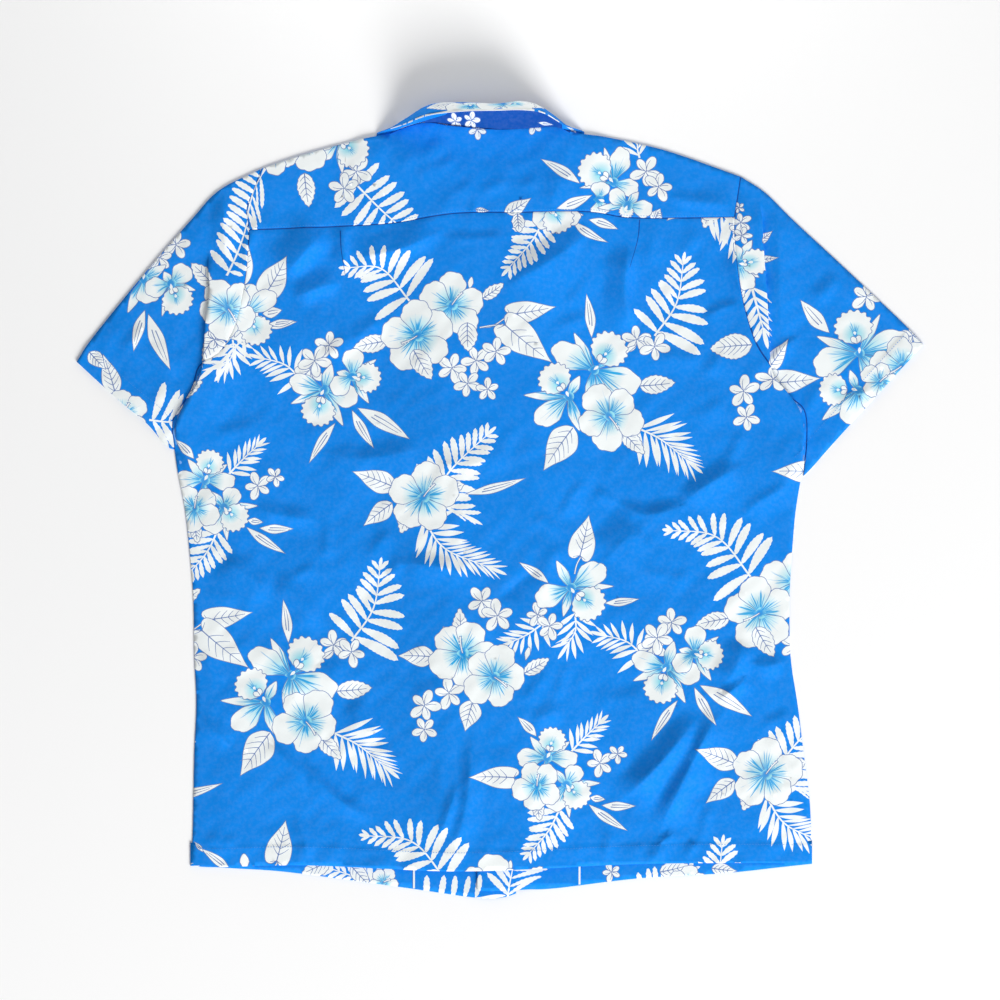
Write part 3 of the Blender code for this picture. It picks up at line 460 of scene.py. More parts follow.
class Print:  # the inked shapes of one panel, each over the ones before it
    def __init__(self, polygon):
        self.polygon = anticlockwise(polygon)
        self.low, self.high = polygon.min(axis=0), polygon.max(axis=0)
        self.shapes = []
        self.seed = 0

    def add(self, kind, points, flower=(0, 0, 0, 1.0)):
        points = anticlockwise(points)
        if (points.max(axis=0) > self.low).all() and (points.min(axis=0) < self.high).all():
            self.shapes.append((ink[kind], points, flower, self.seed))

    def lined(self, kind, points, flower=(0, 0, 0, 1.0)):
        points = anticlockwise(points)
        around = np.sum(np.hypot(*(points - np.roll(points, 1, axis=0)).T))
        inset = min(lineWidth * 0.65, 0.5 * area(points) / around)
        self.add("line", moved(points, lineWidth * 0.35))
        self.add(kind, moved(points, -inset), flower)

    def veins(self, x, y, heading, length, width, bend, count, spread, heart=False):
        u = np.linspace(0.02, 0.84, 7)
        rib = np.column_stack([u * length, bend * length * u**2])
        self.add("line", turned(strip(rib, 1.15, 0.5), x, y, heading))
        for k in range(count):
            share = (0.03 + 0.15 * k) if heart else (0.1 + 0.66 * k / count)
            root = np.array([share * length, bend * length * share**2])
            reach = width * 0.82 * (1 - 0.75 * max(share - 0.3, 0) / 0.7) * (0.75 + 0.25 * (share > 0.12))
            for side in (-1, 1):
                v = np.linspace(0, 1, 4)
                across = side * reach * v
                along = spread * reach * (0.6 * v + 0.4 * v**2) * (-0.4 if heart and k == 0 else 1)
                vein = root + np.column_stack([along, across])
                self.add("line", turned(strip(vein, 0.8, 0.4), x, y, heading))

    def fern(self, x, y, middle, tip, left, right, count, palm=False):  # a frond, with each side's leaflets
        line = through([(0, 0), (middle[0], -middle[1]), (tip[0], -tip[1])], 4) + (x, y)
        run = np.gradient(line, axis=0)
        length = float(lineLength(line))
        bend = np.gradient(np.unwrap(np.arctan2(run[:, 1], run[:, 0]))) / np.hypot(run[:, 0], run[:, 1])
        for k in range(count):
            share, beyond = (((k + j) / count) ** 0.86 for j in (0.3, 1.3))  # this leaflet's place and the next one's
            place = share * (len(line) - 1)
            root = np.array([np.interp(place, np.arange(len(line)), line[:, i]) for i in (0, 1)])
            heading = math.degrees(math.atan2(*run[int(place)][::-1]))
            for side, (first, last, power, base, end) in ((1, left), (-1, right)):
                long = (first + (last - first) * share**power) * (1 + 0.05 * math.sin(5 * k + side + x))
                lean = base + (end - base) * share + 3 * math.sin(3 * k + side)
                step = beyond - share
                swing = (bend[int(place)] * length * step + side * math.radians(end - base) * step) * side
                room = max(step * length * math.sin(math.radians(lean)) - 0.5 * long * swing, 2.2)
                width = min(0.6 + (0.075 if palm else 0.095) * long, (0.44 if palm else 0.41) * room)
                teeth = 0 if palm or long < 12 else 0.5
                form = "palmLeaflet" if palm else "leaflet"
                shape = leafOutline(form, long, width, 0.1 * side, 4.0 if palm else 2.3, teeth)
                self.add("white", turned(shape, root[0], root[1], heading + side * (lean - 5)))
        end = leafOutline("leaflet", left[1] * 1.1, 1.9)
        self.add("white", turned(end, line[-2][0], line[-2][1], math.degrees(math.atan2(*run[-1][::-1]))))
        self.add("white", strip(line, 2.0, 0.9))

    def palm(self, x, y, middle, tip, left, right, count):
        self.fern(x, y, middle, tip, left, right, count, palm=True)

    def blade(self, x, y, heading, length, width, bend=0.12):
        self.lined("white", turned(leafOutline("blade", length, width, bend), x, y, heading))
        for offset in (-0.2, 0.32):
            u = np.linspace(0.22 + 0.25 * abs(offset), 0.8 + offset * 0.1, 6)
            vein = np.column_stack([u * length, offset * width * np.sin(math.pi * u) + bend * length * u**2])
            self.add("line", turned(strip(vein, 1.0, 0.4), x, y, heading))

    def leaf(self, x, y, heading, length, width, style=0, bend=0.06):  # style 1 is toothed, 2 heart-shaped
        form = ("plain", "toothed", "heart")[style]
        shape = leafOutline(form, length, width, bend, 2.6, 0.85 if style == 1 else 0)
        self.lined("white", turned(shape, x, y, heading))
        reach = width * (0.8 if style == 2 else 0.9)
        self.veins(x, y, heading, length, reach, bend, 4 if length < 40 else 5, 1.0, style == 2)

    overLeaf = leaf  # one that lies over the flowers

    def stem(self, x, y, middle, tip, width=1.5):
        line = through([(0, 0), (middle[0], -middle[1]), (tip[0], -tip[1])], 3) + (x, y)
        self.lined("white", strip(line, width, width))

    def plumeria(self, x, y, heading, radius):
        for k in range(5):
            turn = heading + 72 * k + 5 * math.sin(4 * k + x)
            size = radius * (1 + 0.08 * math.sin(3 * k + y))
            self.lined("white", turned(petal(size, size * 0.33, waist=0.45, pointed=0.15), x, y, turn))
            u = np.linspace(0.1, 0.7, 5)
            vein = np.column_stack([u * size, size * 0.12 * np.sin(math.pi * u)])
            self.add("line", turned(strip(vein, 0.75, 0.35), x, y, turn))

    def bud(self, x, y, heading, length, width):
        self.lined("white", turned(petal(length, width, pointed=0.5), x, y, heading))

    def hibiscus(self, x, y, heading, radius):
        for k in (0, 2, 4, 1, 3):
            self.seed += 1
            turn = heading + 36 + 72 * k + 5 * math.sin(2 * k + x)
            size = radius * (1 + 0.06 * math.sin(3 * k + y))
            shape = petal(size, size * 0.46, 9, 0.075, 0.26, shift=k + x)
            self.lined("glow", turned(shape, x, y, turn), (x, y, turn, radius))
        centre = turned(petal(radius * 0.36, radius * 0.17), x - radius * 0.18, y, 0)
        self.add("glow", centre, (x, y, heading, radius))
        bar = np.column_stack([np.linspace(0, radius * 0.5, 6), 0.02 * radius * np.sin(np.linspace(0, 3, 6))])
        self.lined("white", turned(strip(bar, 1.4, 2.4), x, y, heading))
        for k in range(7):
            spot = turned(np.array([[radius * (0.3 + 0.05 * k), 1.9 * (-1) ** k]]), x, y, heading)[0]
            self.add("white", turned(petal(1.3, 0.7), spot[0] - 0.65, spot[1], 0))

    def orchid(self, x, y, lip, broad, narrow):
        for heading, length, width in narrow:
            self.seed += 1
            shape = petal(length, width, waist=0.42, pointed=0.72)
            self.lined("glow", turned(shape, x, y, heading), (x, y, heading, length * 1.1))
        for heading, length, width in broad:
            self.seed += 1
            shape = petal(length, width, 7, 0.09, 0.26, shift=heading)
            self.lined("glow", turned(shape, x, y, heading), (x, y, heading, length * 1.05))
        heading, distance, radius = lip
        if radius:
            self.seed += 1
            t = np.linspace(0, 2 * math.pi, 75, endpoint=False)
            wave = 1 + 0.2 * (np.abs(np.cos(7.5 * t)) - 0.6) * smooth((1.25 - np.cos(t - math.pi)) / 1.2)
            disc = radius * wave[:, None] * np.column_stack([np.cos(t) * 0.92, np.sin(t) * 1.04])
            throat = turned(np.array([[distance - 0.45 * radius, 0.0]]), x, y, heading)[0]
            glow = (throat[0], throat[1], heading, radius * 1.25)
            self.lined("glow", turned(disc + (distance, 0), x, y, heading), glow)
            for side in (-1, 1):
                fold = petal(radius * 0.5, radius * 0.2, pointed=0.3)
                self.lined("white", turned(turned(fold, distance - radius * 0.95, 0, side * 28), x, y, heading))
            self.add("white", turned(petal(3.6, 1.5), throat[0], throat[1], heading))
        self.add("glow", turned(petal(11, 5.0), x - 5.5, y, 0), (x, y, heading, 40))
        self.add("white", turned(petal(6.0, 1.7, pointed=0.2), x, y, heading - 15))

    def motif(self, kind, row, shift=(0, 0)):
        x, y = row[0] + shift[0] + printCorner[0], printCorner[1] - row[1] - shift[1]
        if (np.array((x, y)) > self.low - motifReach).all() and (np.array((x, y)) < self.high + motifReach).all():
            getattr(self, kind)(x, y, *row[2:])

    def spray(self, rows, shift=(0, 0)):
        for kind in ("fern", "palm", "stem", "blade", "leaf", "plumeria", "bud", "orchid", "hibiscus", "overLeaf"):
            for row in rows.get(kind, ()):
                self.motif(kind, row, shift)


# Each spray of the print, where it first comes on the back.
sprays = {
    "orchidGarden": {
        "fern": ((655, 336, (22, -33), (29, -76), (35, 11, 1.6, 80, 40), (49, 11, 1.1, 86, 34), 9),),
        "palm": ((636, 427, (26, 13), (52, 34), (42, 22, 1.0, 46, 14), (36, 24, 1.2, 66, 24), 11),),
        "blade": ((592, 338, 90, 44, 5.5),),
        "leaf": ((574, 427, -128, 53, 16), (640, 386, 2, 36, 9.5, 1), (622, 430, -50, 33, 8, 1)),
        "plumeria": ((637, 340, 20, 15), (655, 347, 60, 15)),
        "orchid": (
            (594, 370, (53, 26, 18), ((150, 46, 14), (-22, 49, 15)),
             ((30, 50, 5), (118, 42, 7), (-65, 34, 9), (-100, 35, 7))),
            (569, 397, (128, 23, 16), ((-140, 42, 12),), ((178, 45, 6), (62, 24, 7), (-72, 36, 8))),
        ),
        "hibiscus": ((609.5, 416.4, -55, 33),),
    },
    "hibiscusPair": {
        "fern": ((410, 301, (-35, -41), (-84, -48), (45, 9, 0.8, 88, 26), (50, 9, 0.75, 74, 32), 11),),
        "leaf": (
            (483, 299, 32, 26, 6, 1), (509, 315, 6, 48, 11, 2), (504, 324, -42, 62, 16, 2),
            (388, 341, -172, 35, 9, 1),
        ),
        "stem": ((480, 328, (14, -2), (29, -12)), (480, 328, (12, -2), (24, -3))),
        "overLeaf": ((468, 323, -92, 29, 10, 1), (414, 350, -62, 35, 10, 1)),
        "plumeria": (
            (452.6, 368.5, 70, 16), (476.5, 361, 40, 15), (496.6, 352, 80, 15), (468, 384, 50, 14),
            (488, 389.6, 20, 12),
        ),
        "bud": ((470, 290, 80, 13, 3.5),),
        "hibiscus": ((452.6, 305.4, 50, 33), (418, 336, -155, 36)),
    },
    "orchidPalm": {
        "palm": ((303, 381, (-17, -16), (-41, -23), (30, 17, 1.0, 80, 30), (26, 16, 1.0, 66, 26), 7),),
        "blade": ((336, 423, -130, 48, 5), (352.6, 410, -67, 44, 5.5), (358, 408, -28, 61, 8, -0.05)),
        "plumeria": ((311, 370, 110, 15), (330, 345.6, 90, 15), (315.4, 361, 60, 17)),
        "orchid": (
            (324.5, 389.8, (-105, 22, 16), ((165, 35, 11), (-15, 36, 12)),
             ((73, 27, 8), (-157, 36, 6), (-62, 41, 7))),
            (352.6, 376.5, (-5, 16, 14), ((86, 28, 11), (-142, 25, 11)), ((165, 16, 6), (35, 30, 5), (-58, 32, 6))),
        ),
    },
    "fernStar": {
        "fern": (
            (430, 499, (25, -33), (60, -66), (36, 12, 1.3, 60, 36), (42, 12, 1.0, 62, 38), 10),
            (432, 500, (14, 6), (30, 14), (34, 26, 1.0, 34, 16), (30, 24, 1.0, 10, 8), 3),
        ),
        "palm": ((423, 517, (22, 31), (66, 50), (34, 22, 1.0, 72, 18), (34, 20, 1.0, 52, 20), 13),),
        "blade": ((466, 494, 8, 62, 5),),
        "leaf": (
            (397, 488, 156, 47, 12), (393, 503, -145, 37, 10), (411.6, 507, -115, 28, 9, 1), (444, 490, 12, 22, 7, 1),
        ),
        "hibiscus": ((424.2, 496.8, 48, 35),),
    },
    "hibiscusLeaf": {
        "palm": (
            (545, 622, (-17, 12), (-34, 20), (24, 16, 1.0, 74, 34), (24, 18, 1.0, 56, 24), 6),
            (575, 610, (1, 20), (-7, 34), (26, 20, 1.0, 52, 24), (26, 20, 1.0, 62, 30), 6),
        ),
        "blade": ((549, 583, 138, 36, 5), (604.8, 603, 0, 35, 4.5)),
        "leaf": (
            (435.5, 656.6, 175, 37, 11), (461, 641, 88, 33, 8, 1), (524.4, 673, 27, 29, 7, 1),
            (473.7, 700, -108, 32, 12), (580, 557, 74, 43, 13, 2),
        ),
        "plumeria": (
            (482.4, 601, 60, 16), (497.7, 615.5, 20, 17), (449.8, 693, 100, 16), (425, 705.4, 70, 16),
            (425, 729.3, 50, 13), (537.8, 614.5, 30, 12), (550.3, 626, 75, 14),
        ),
        "stem": ((575, 574, (2, -9), (6, -17)),),
        "bud": ((452, 635, 135, 12, 3), (526, 660, 75, 14, 3.5)),
        "orchid": (
            (571.3, 587.7, (-42, 24, 17), ((-160, 38, 12), (33, 40, 13)), ((118, 31, 7), (2, 43, 5), (-105, 30, 6))),
        ),
        "hibiscus": ((463.2, 652.8, 98, 34), (494.8, 676.7, -38, 32)),
    },
    "orchidHeart": {
        "fern": ((561, 806, (-12, 24), (-33, 48), (26, 10, 1.2, 58, 44), (34, 10, 0.8, 62, 36), 9),),
        "palm": ((571, 752, (14, -15), (30, -30), (22, 14, 1.0, 48, 28), (24, 14, 1.0, 58, 24), 7),),
        "blade": ((537, 736, 127, 27, 5), (589, 804, -41, 47, 5), (602, 805, -8, 34, 5), (590, 797, -15, 16, 4)),
        "leaf": ((516, 777, 176, 47, 11, 2), (537.3, 800, -85, 20, 6, 1)),
        "plumeria": ((600.5, 763, 110, 14), (618, 753.8, 60, 10)),
        "bud": ((524, 792, 190, 12, 3),),
        "orchid": (
            (547.2, 757.3, (73, 19, 13), ((180, 30, 10), (-3, 31, 9)), ((128, 27, 6), (-92, 23, 5), (35, 28, 6))),
            (566.8, 784, (-45, 15, 14), ((55, 22, 10), (-125, 30, 12)), ((2, 34, 5), (130, 20, 6), (-85, 34, 5))),
        ),
        "hibiscus": ((537.3, 785.4, 80, 25),),
    },
}
halfDrop = ((342, 277), (-303, 305))  # the two steps of the repeat
hiddenShift = {  # of the repeat, on the undersides
    "yoke": (120, 60),
    "sleeve": (40, 150),
    "front": (90, 210),
    "lapel": (0, 30),
}
extras = {
    "backBody": {
        "fern": (
            (410, 301, (-28, -32), (-64, -33), (43, 10, 0.9, 86, 30), (51, 9, 0.75, 76, 50), 9),
            (543, 222, (-11, 20), (-35, 48), (24, 12, 1.2, 62, 40), (31, 9, 0.8, 72, 40), 9),
        ),
        "palm": (
            (248, 336, (-14, 13), (-30, 30), (20, 22, 1.0, 50, 32), (14, 16, 1.0, 50, 34), 4),
            (738, 216, (-16, -3), (-32, -3), (36, 26, 1.0, 104, 98), (8, 6, 1.0, 70, 60), 5),
        ),
        "stem": ((258, 296, (3, -6), (8, -11)),),
        "bud": ((246, 870, 95, 17, 6),),
        "blade": (
            (232, 872, 135, 38, 5), (204, 852, 125, 14, 2.5), (589, 220, -12, 31, 5, -0.1),
            (573, 221, -48, 40, 5, 0.3), (269, 324, 0, 26, 4), (263, 314, 4, 20, 6),
        ),
        "leaf": (
            (507, 213, 20, 27, 7), (518, 214, -88, 19, 6.5, 1), (267, 293, 57, 42, 13.5, 2),
            (752, 345, -178, 42, 13, 1),
        ),
        "plumeria": (
            (740, 212, 70, 10), (740, 230, 20, 11), (743.9, 391.6, 90, 16), (746.6, 417.5, 60, 14),
            (768.8, 379.6, 20, 14),
        ),
        "orchid": (
            (552.7, 209, (-60, 12, 15), ((-135, 24, 11), (-25, 30, 10)), ((-80, 26, 5), (-12, 32, 5))),
            (246.4, 314, (-57, 20, 15), ((36, 36, 11), (172, 26, 10)), ((95, 32, 6), (-115, 26, 6))),
            (745, 262, (8, 12, 12), ((70, 30, 7), (-80, 30, 9)), ((120, 22, 6), (-50, 24, 6))),
        ),
        "hibiscus": ((228, 310, -60, 28),),
    },
    "frontHem": {
        "fern": (
            (392, 894, (-28, -14), (-62, -26), (26, 12, 1.0, 60, 40), (26, 12, 1.0, 60, 40), 9),
            (640, 900, (24, -18), (52, -30), (26, 12, 1.0, 60, 40), (26, 12, 1.0, 60, 40), 8),
            (420, 902, (30, -2), (64, -5), (26, 24, 1.0, 80, 70), (6, 6, 1.0, 70, 70), 5),
            (508, 898, (2, -14), (6, -34), (30, 26, 1.0, 48, 40), (36, 34, 1.0, 50, 78), 4),
        ),
        "leaf": ((352, 866, -50, 30, 8), (330, 862, 200, 30, 9, 1), (660, 872, 10, 30, 8, 1), (712, 868, -10, 26, 7)),
        "plumeria": ((612, 872, 40, 10),),
        "hibiscus": ((384, 882, 20, 15), (690, 884, 50, 20)),
    },
    "backYoke": {
        "fern": (
            (354, 182, (33, 33), (76, 68), (33, 12, 1.6, 88, 50), (32, 12, 1.6, 92, 50), 11),
            (243, 240, (10, -45), (21, -68), (22, 22, 1.0, 62, 75), (18, 34, 1.0, 150, 150), 7),
        ),
        "palm": ((640, 158, (-2, -8), (-2, -16), (22, 16, 1.0, 50, 30), (22, 16, 1.0, 50, 30), 3),),
        "blade": ((580.4, 184, 141, 46, 6), (557, 209, 14, 38, 6)),
        "leaf": ((305, 173, -86, 35, 9, 1), (505, 216, 30, 32, 8), (476, 210, -8, 14, 3), (654, 222, 60, 15, 7)),
        "plumeria": (
            (357, 172, 50, 16), (344.6, 188.7, 20, 16), (646.4, 171.8, 55, 16), (659, 187, 75, 15),
            (534, 125, 35, 10), (478, 130, 200, 10),
        ),
        "orchid": (
            (340, 140, (-40, 18, 16), ((-150, 30, 12),), ((-85, 34, 6),)),
            (613.4, 182.5, (146, 22, 17), ((72, 36, 11), (-18, 27, 9)), ((104, 36, 6), (-170, 34, 4))),
            (599, 200, (0, 0, 0), ((-80, 16, 11), (80, 18, 10)), ()),
            (627.7, 205.7, (-100, 6, 7), ((140, 22, 9), (-12, 26, 9)), ((50, 18, 6), (185, 30, 5))),
        ),
        "hibiscus": ((303, 137, 40, 34), (277, 150, 10, 24)),
    },
    "sleeveLeft": {
        "fern": (
            (228, 276, (15, -36), (34, -104), (30, 22, 1.0, 60, 75), (14, 34, 1.0, 80, 152), 12),
            (150, 420, (22, 2), (44, -2), (40, 22, 1.0, 78, 40), (34, 20, 1.0, 60, 34), 6),
        ),
        "blade": ((145.7, 310, -112, 43, 6), (149, 314, -75, 60, 8), (200, 388, 65, 28, 4)),
        "leaf": (
            (116.5, 395, 104, 43, 10), (216, 287, 132, 34, 9, 1), (222, 330, -120, 40, 10, 1), (90, 352, -50, 24, 8),
        ),
        "plumeria": ((176.7, 245, 80, 15), (160, 258, 20, 13), (218, 340, 40, 10)),
        "orchid": (
            (144, 279.5, (100, 20, 14), ((-72, 25, 12),), ((32, 27, 7), (-115, 37, 7))),
            (171.5, 283.8, (-68, 18, 15), ((42, 25, 11), (194, 26, 11)), ((120, 14, 6), (-15, 26, 5), (-105, 34, 5))),
        ),
        "hibiscus": ((229, 309, -60, 30), (124, 414, 60, 26)),
    },
    "sleeveRight": {
        "palm": ((750, 284, (5, 24), (10, 48), (28, 20, 1.0, 40, 24), (26, 20, 1.0, 46, 26), 6),),
        "blade": ((829.8, 333, 135, 44, 8, -0.06),),
        "leaf": (
            (771, 383, 2, 50, 12, 2), (766, 372, 52, 40, 9), (779, 397, -58, 22, 8, 1), (741, 300, 100, 20, 6, 1),
            (806, 458, 200, 14, 5), (758, 243, 35, 19, 5), (757, 260, 2, 22, 4),
        ),
        "plumeria": (
            (866.8, 297, 75, 16), (913, 336, 20, 12), (767, 380, 40, 14), (741, 223, 30, 10), (742, 236, 70, 9),
            (739, 208, 40, 6),
        ),
        "orchid": (
            (739, 264, (8, 14, 12), ((-72, 28, 9), (110, 20, 8)), ((65, 26, 6), (-40, 22, 5))),
            (859.4, 353.6, (102, 27, 18), ((18, 51, 15), (-163, 48, 15)),
             ((158, 46, 7), (62, 45, 6), (-70, 37, 7), (-32, 32, 9))),
            (857.5, 390.6, (178, 24, 15), ((-105, 34, 13), (-38, 26, 9)), ((-140, 46, 8), (110, 22, 6))),
        ),
        "hibiscus": ((902, 366, -150, 31), (880, 382, 40, 20)),
    },
}


def repeatPrint(made, shift=(0, 0), skip=()):  # the half-drop repeat over a panel
    for name, rows in sprays.items():
        for a in range(-4, 5):
            for b in range(-4, 5):
                step = [a * halfDrop[0][i] + b * halfDrop[1][i] + shift[i] for i in (0, 1)]
                if (name, a, b) not in skip:
                    made.spray({kind: row for kind, row in rows.items() if (name, a, b, kind) not in skip}, step)
    return made


def gridPoints(polygon, step):
    low, high = polygon.min(axis=0), polygon.max(axis=0)
    rowStep = cloth["rowStep"]
    across, up = int((high[0] - low[0]) / step) + 1, int((high[1] - low[1]) / step / rowStep) + 1
    i, j = np.meshgrid(np.arange(across), np.arange(up))
    x, y = low[0] + (i + 0.5 * (j % 2)) * step, low[1] + (j + 0.5) * step * rowStep
    points = np.column_stack([x.ravel(), y.ravel()])
    return points[inside(points, moved(polygon, np.full(len(polygon), -step * 0.4)))]


def newSheet():
    bm = bmesh.new()
    bm.loops.layers.uv.new("motif")
    bm.loops.layers.uv.new("plan")
    bm.faces.layers.float.new("motifSeed")
    return bm


def addPanel(bm, made, places, step=cloth["grid"], faceUp=True, rows=()):  # the panel's mesh, cut along its print
    polygon = made.polygon
    points, faces, edges = [polygon], [list(range(len(polygon)))], []
    count = len(polygon)
    for shape in made.shapes:
        faces.append(list(range(count, count + len(shape[1]))))
        points.append(shape[1])
        count += len(shape[1])
    for row in rows:
        edges += [(count + k, count + k + 1) for k in range(len(row) - 1)]
        points.append(row)
        count += len(row)
    spread = gridPoints(polygon, step)
    for row in rows:
        near = (spread > row.min(axis=0) - 2).all(axis=1) & (spread < row.max(axis=0) + 2).all(axis=1)
        close = np.zeros(len(spread), bool)
        close[near] = toLine(spread[near], row)[0] < cloth["rowGap"]
        spread = spread[~close]
    points.append(spread)
    everything = [Vector(p) for p in np.vstack(points)]
    plan, _, triangles, _, _, sources = delaunay_2d_cdt(everything, edges, faces, 1, 1e-4)
    plan = np.array([tuple(p) for p in plan])
    kept = [(t, s) for t, s in zip(triangles, sources) if 0 in s]
    corners = plan[np.array([t for t, s in kept])]
    centres = corners.mean(axis=1)
    sides = corners[:, 1:] - corners[:, :1]
    areas = 0.5 * (sides[:, 0, 0] * sides[:, 1, 1] - sides[:, 0, 1] * sides[:, 1, 0])
    covered = {}
    for k, (t, s) in enumerate(kept):
        for number in s:
            covered.setdefault(number, []).append(k)
    tops = np.zeros(len(kept), int)
    for number in sorted(covered)[1:]:
        shape, under = made.shapes[number - 1][1], np.array(covered[number])
        if areas[under].sum() > 1.1 * area(shape) + 1:  # a shape that crosses itself
            under = under[inside(centres[under], shape)]
        tops[under] = number
    found = [(t, int(top)) for (t, s), top in zip(kept, tops)]
    used = np.array(sorted({i for t, s in found for i in t}))
    verts = {i: bm.verts.new(p * mm) for i, p in zip(used.tolist(), places(plan[used]))}
    motif, flat = bm.loops.layers.uv["motif"], bm.loops.layers.uv["plan"]
    seeds = bm.faces.layers.float["motifSeed"]
    middle, size = (made.low + made.high) / 2, float((made.high - made.low).max()) * 1.02
    ground = (ink["ground"], None, (0, 0, 0, 1.0), 0)
    for corners, top in found:
        order = corners if faceUp else corners[::-1]
        face = bm.faces.new([verts[i] for i in order])
        face.smooth = True
        slot, _, (centreX, centreY, turn, reach), seed = made.shapes[top - 1] if top else ground
        c, s = math.cos(math.radians(turn)) / reach, math.sin(math.radians(turn)) / reach
        face.material_index = slot
        face[seeds] = seed
        for loop, i in zip(face.loops, order):
            x, y = plan[i]
            loop[flat].uv = ((x - middle[0]) / size + 0.5, (y - middle[1]) / size + 0.5)
            if slot == ink["glow"]:
                x, y = x - centreX, y - centreY
                loop[motif].uv = (c * x + s * y, c * y - s * x)
    directed = {(a, b) for t, s in found for a, b in zip(t, t[1:] + t[:1])}
    after = {a: b for a, b in directed if (b, a) not in directed}
    loop = [next(iter(after))]
    while after[loop[-1]] != loop[0] and len(loop) <= len(after):
        loop.append(after[loop[-1]])
    return plan[loop], [verts[i] for i in loop]


def chain(edge, line):  # the vertices of a panel's edge that lie on a line, and how far along
    plan, verts = edge
    distance, _, along = toLine(plan, line)
    near = sorted((along[i], i) for i in range(len(plan)) if distance[i] < 0.05)
    forwards = (near[1][1] - near[0][1]) % len(plan) == 1
    total = near[-1][0]
    ordered = near if forwards else [(total - a, i) for a, i in near[::-1]]
    return [(a, verts[i]) for a, i in ordered]


def joinFold(bm, upper, lower):  # faces between two edges
    i = j = 0
    while i < len(upper) - 1 or j < len(lower) - 1:
        first = j == len(lower) - 1 or (i < len(upper) - 1 and upper[i + 1][0] <= lower[j + 1][0])
        third = upper[i + 1][1] if first else lower[j + 1][1]
        corners = (third, upper[i][1], lower[j][1]) if first else (upper[i][1], lower[j][1], third)
        if len(set(corners)) == 3 and bm.faces.get(corners) is None:
            bm.faces.new(corners).smooth = True
        i, j = (i + 1, j) if first else (i, j + 1)


def linked(name, data):
    made = bpy.data.objects.new(name, data)
    bpy.context.scene.collection.objects.link(made)
    return made


def meshOf(bm, name, materials):
    mesh = bpy.data.meshes.new(name)
    bm.to_mesh(mesh)
    bm.free()
    for material in materials:
        mesh.materials.append(material)
    return mesh


def finishPiece(bm, name, materials, node):
    piece = linked(name, meshOf(bm, name, materials))
    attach(piece, "root")
    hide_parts(node)
    return piece


def thicken(piece, offset=ink["inside"]):
    wall = piece.modifiers.new("wall", "SOLIDIFY")
    wall.thickness = cloth["thickness"] * mm
    wall.offset = 0.0
    wall.material_offset = offset
    return piece


motifInk = {
    "ground": (0.0015, 0.235, 0.8, 1.0),
    "white": (0.88, 0.92, 0.91, 1.0),
    "line": (0.14, 0.22, 0.46, 1.0),
    "aqua": (0.17, 0.68, 0.82, 1.0),
    "streak": (0.0, 0.38, 0.76, 1.0),
    "deep": (0.0, 0.27, 0.7, 1.0),
    "shade": (0.002, 0.07, 0.36, 1.0),  # painted shade: dark blue standing in for the shadow in the seams, along the pleats and under the collar's fall
    "thread": (0.02, 0.08, 0.3, 1.0),  # between the threads of the weave
    "bloom": (0.8, 0.9, 1.0, 1.0),
    "wrongSide": (0.42, 0.62, 0.86, 1.0),
}
cottonFinish = {"Roughness": 0.86, "Sheen Weight": 0.02, "Sheen Roughness": 0.5, "Specular IOR Level": 0.12}
weaveScale = 620  # over the metre


def newMaterial(name, values):
    material = bpy.data.materials.new(name)
    material.use_nodes = True
    nodes, links = material.node_tree.nodes, material.node_tree.links
    shader = nodes["Principled BSDF"]
    for socket, value in values.items():
        shader.inputs[socket].default_value = value
    return material, nodes, links, shader


def waveringMaterial(name, values, scale, dark, light):  # one colour that wavers between two
    material, nodes, links, shader = newMaterial(name, values)
    place, cloud, ramp = (nodes.new(f"ShaderNode{kind}") for kind in ("TexCoord", "TexNoise", "ValToRGB"))
    cloud.inputs["Scale"].default_value = scale
    for element, colour in zip(ramp.color_ramp.elements, (dark, light)):
        element.color = colour
    links.new(place.outputs["Object"], cloud.inputs["Vector"])
    links.new(cloud.outputs["Fac"], ramp.inputs["Fac"])
    links.new(ramp.outputs["Color"], shader.inputs["Base Color"])
    return material


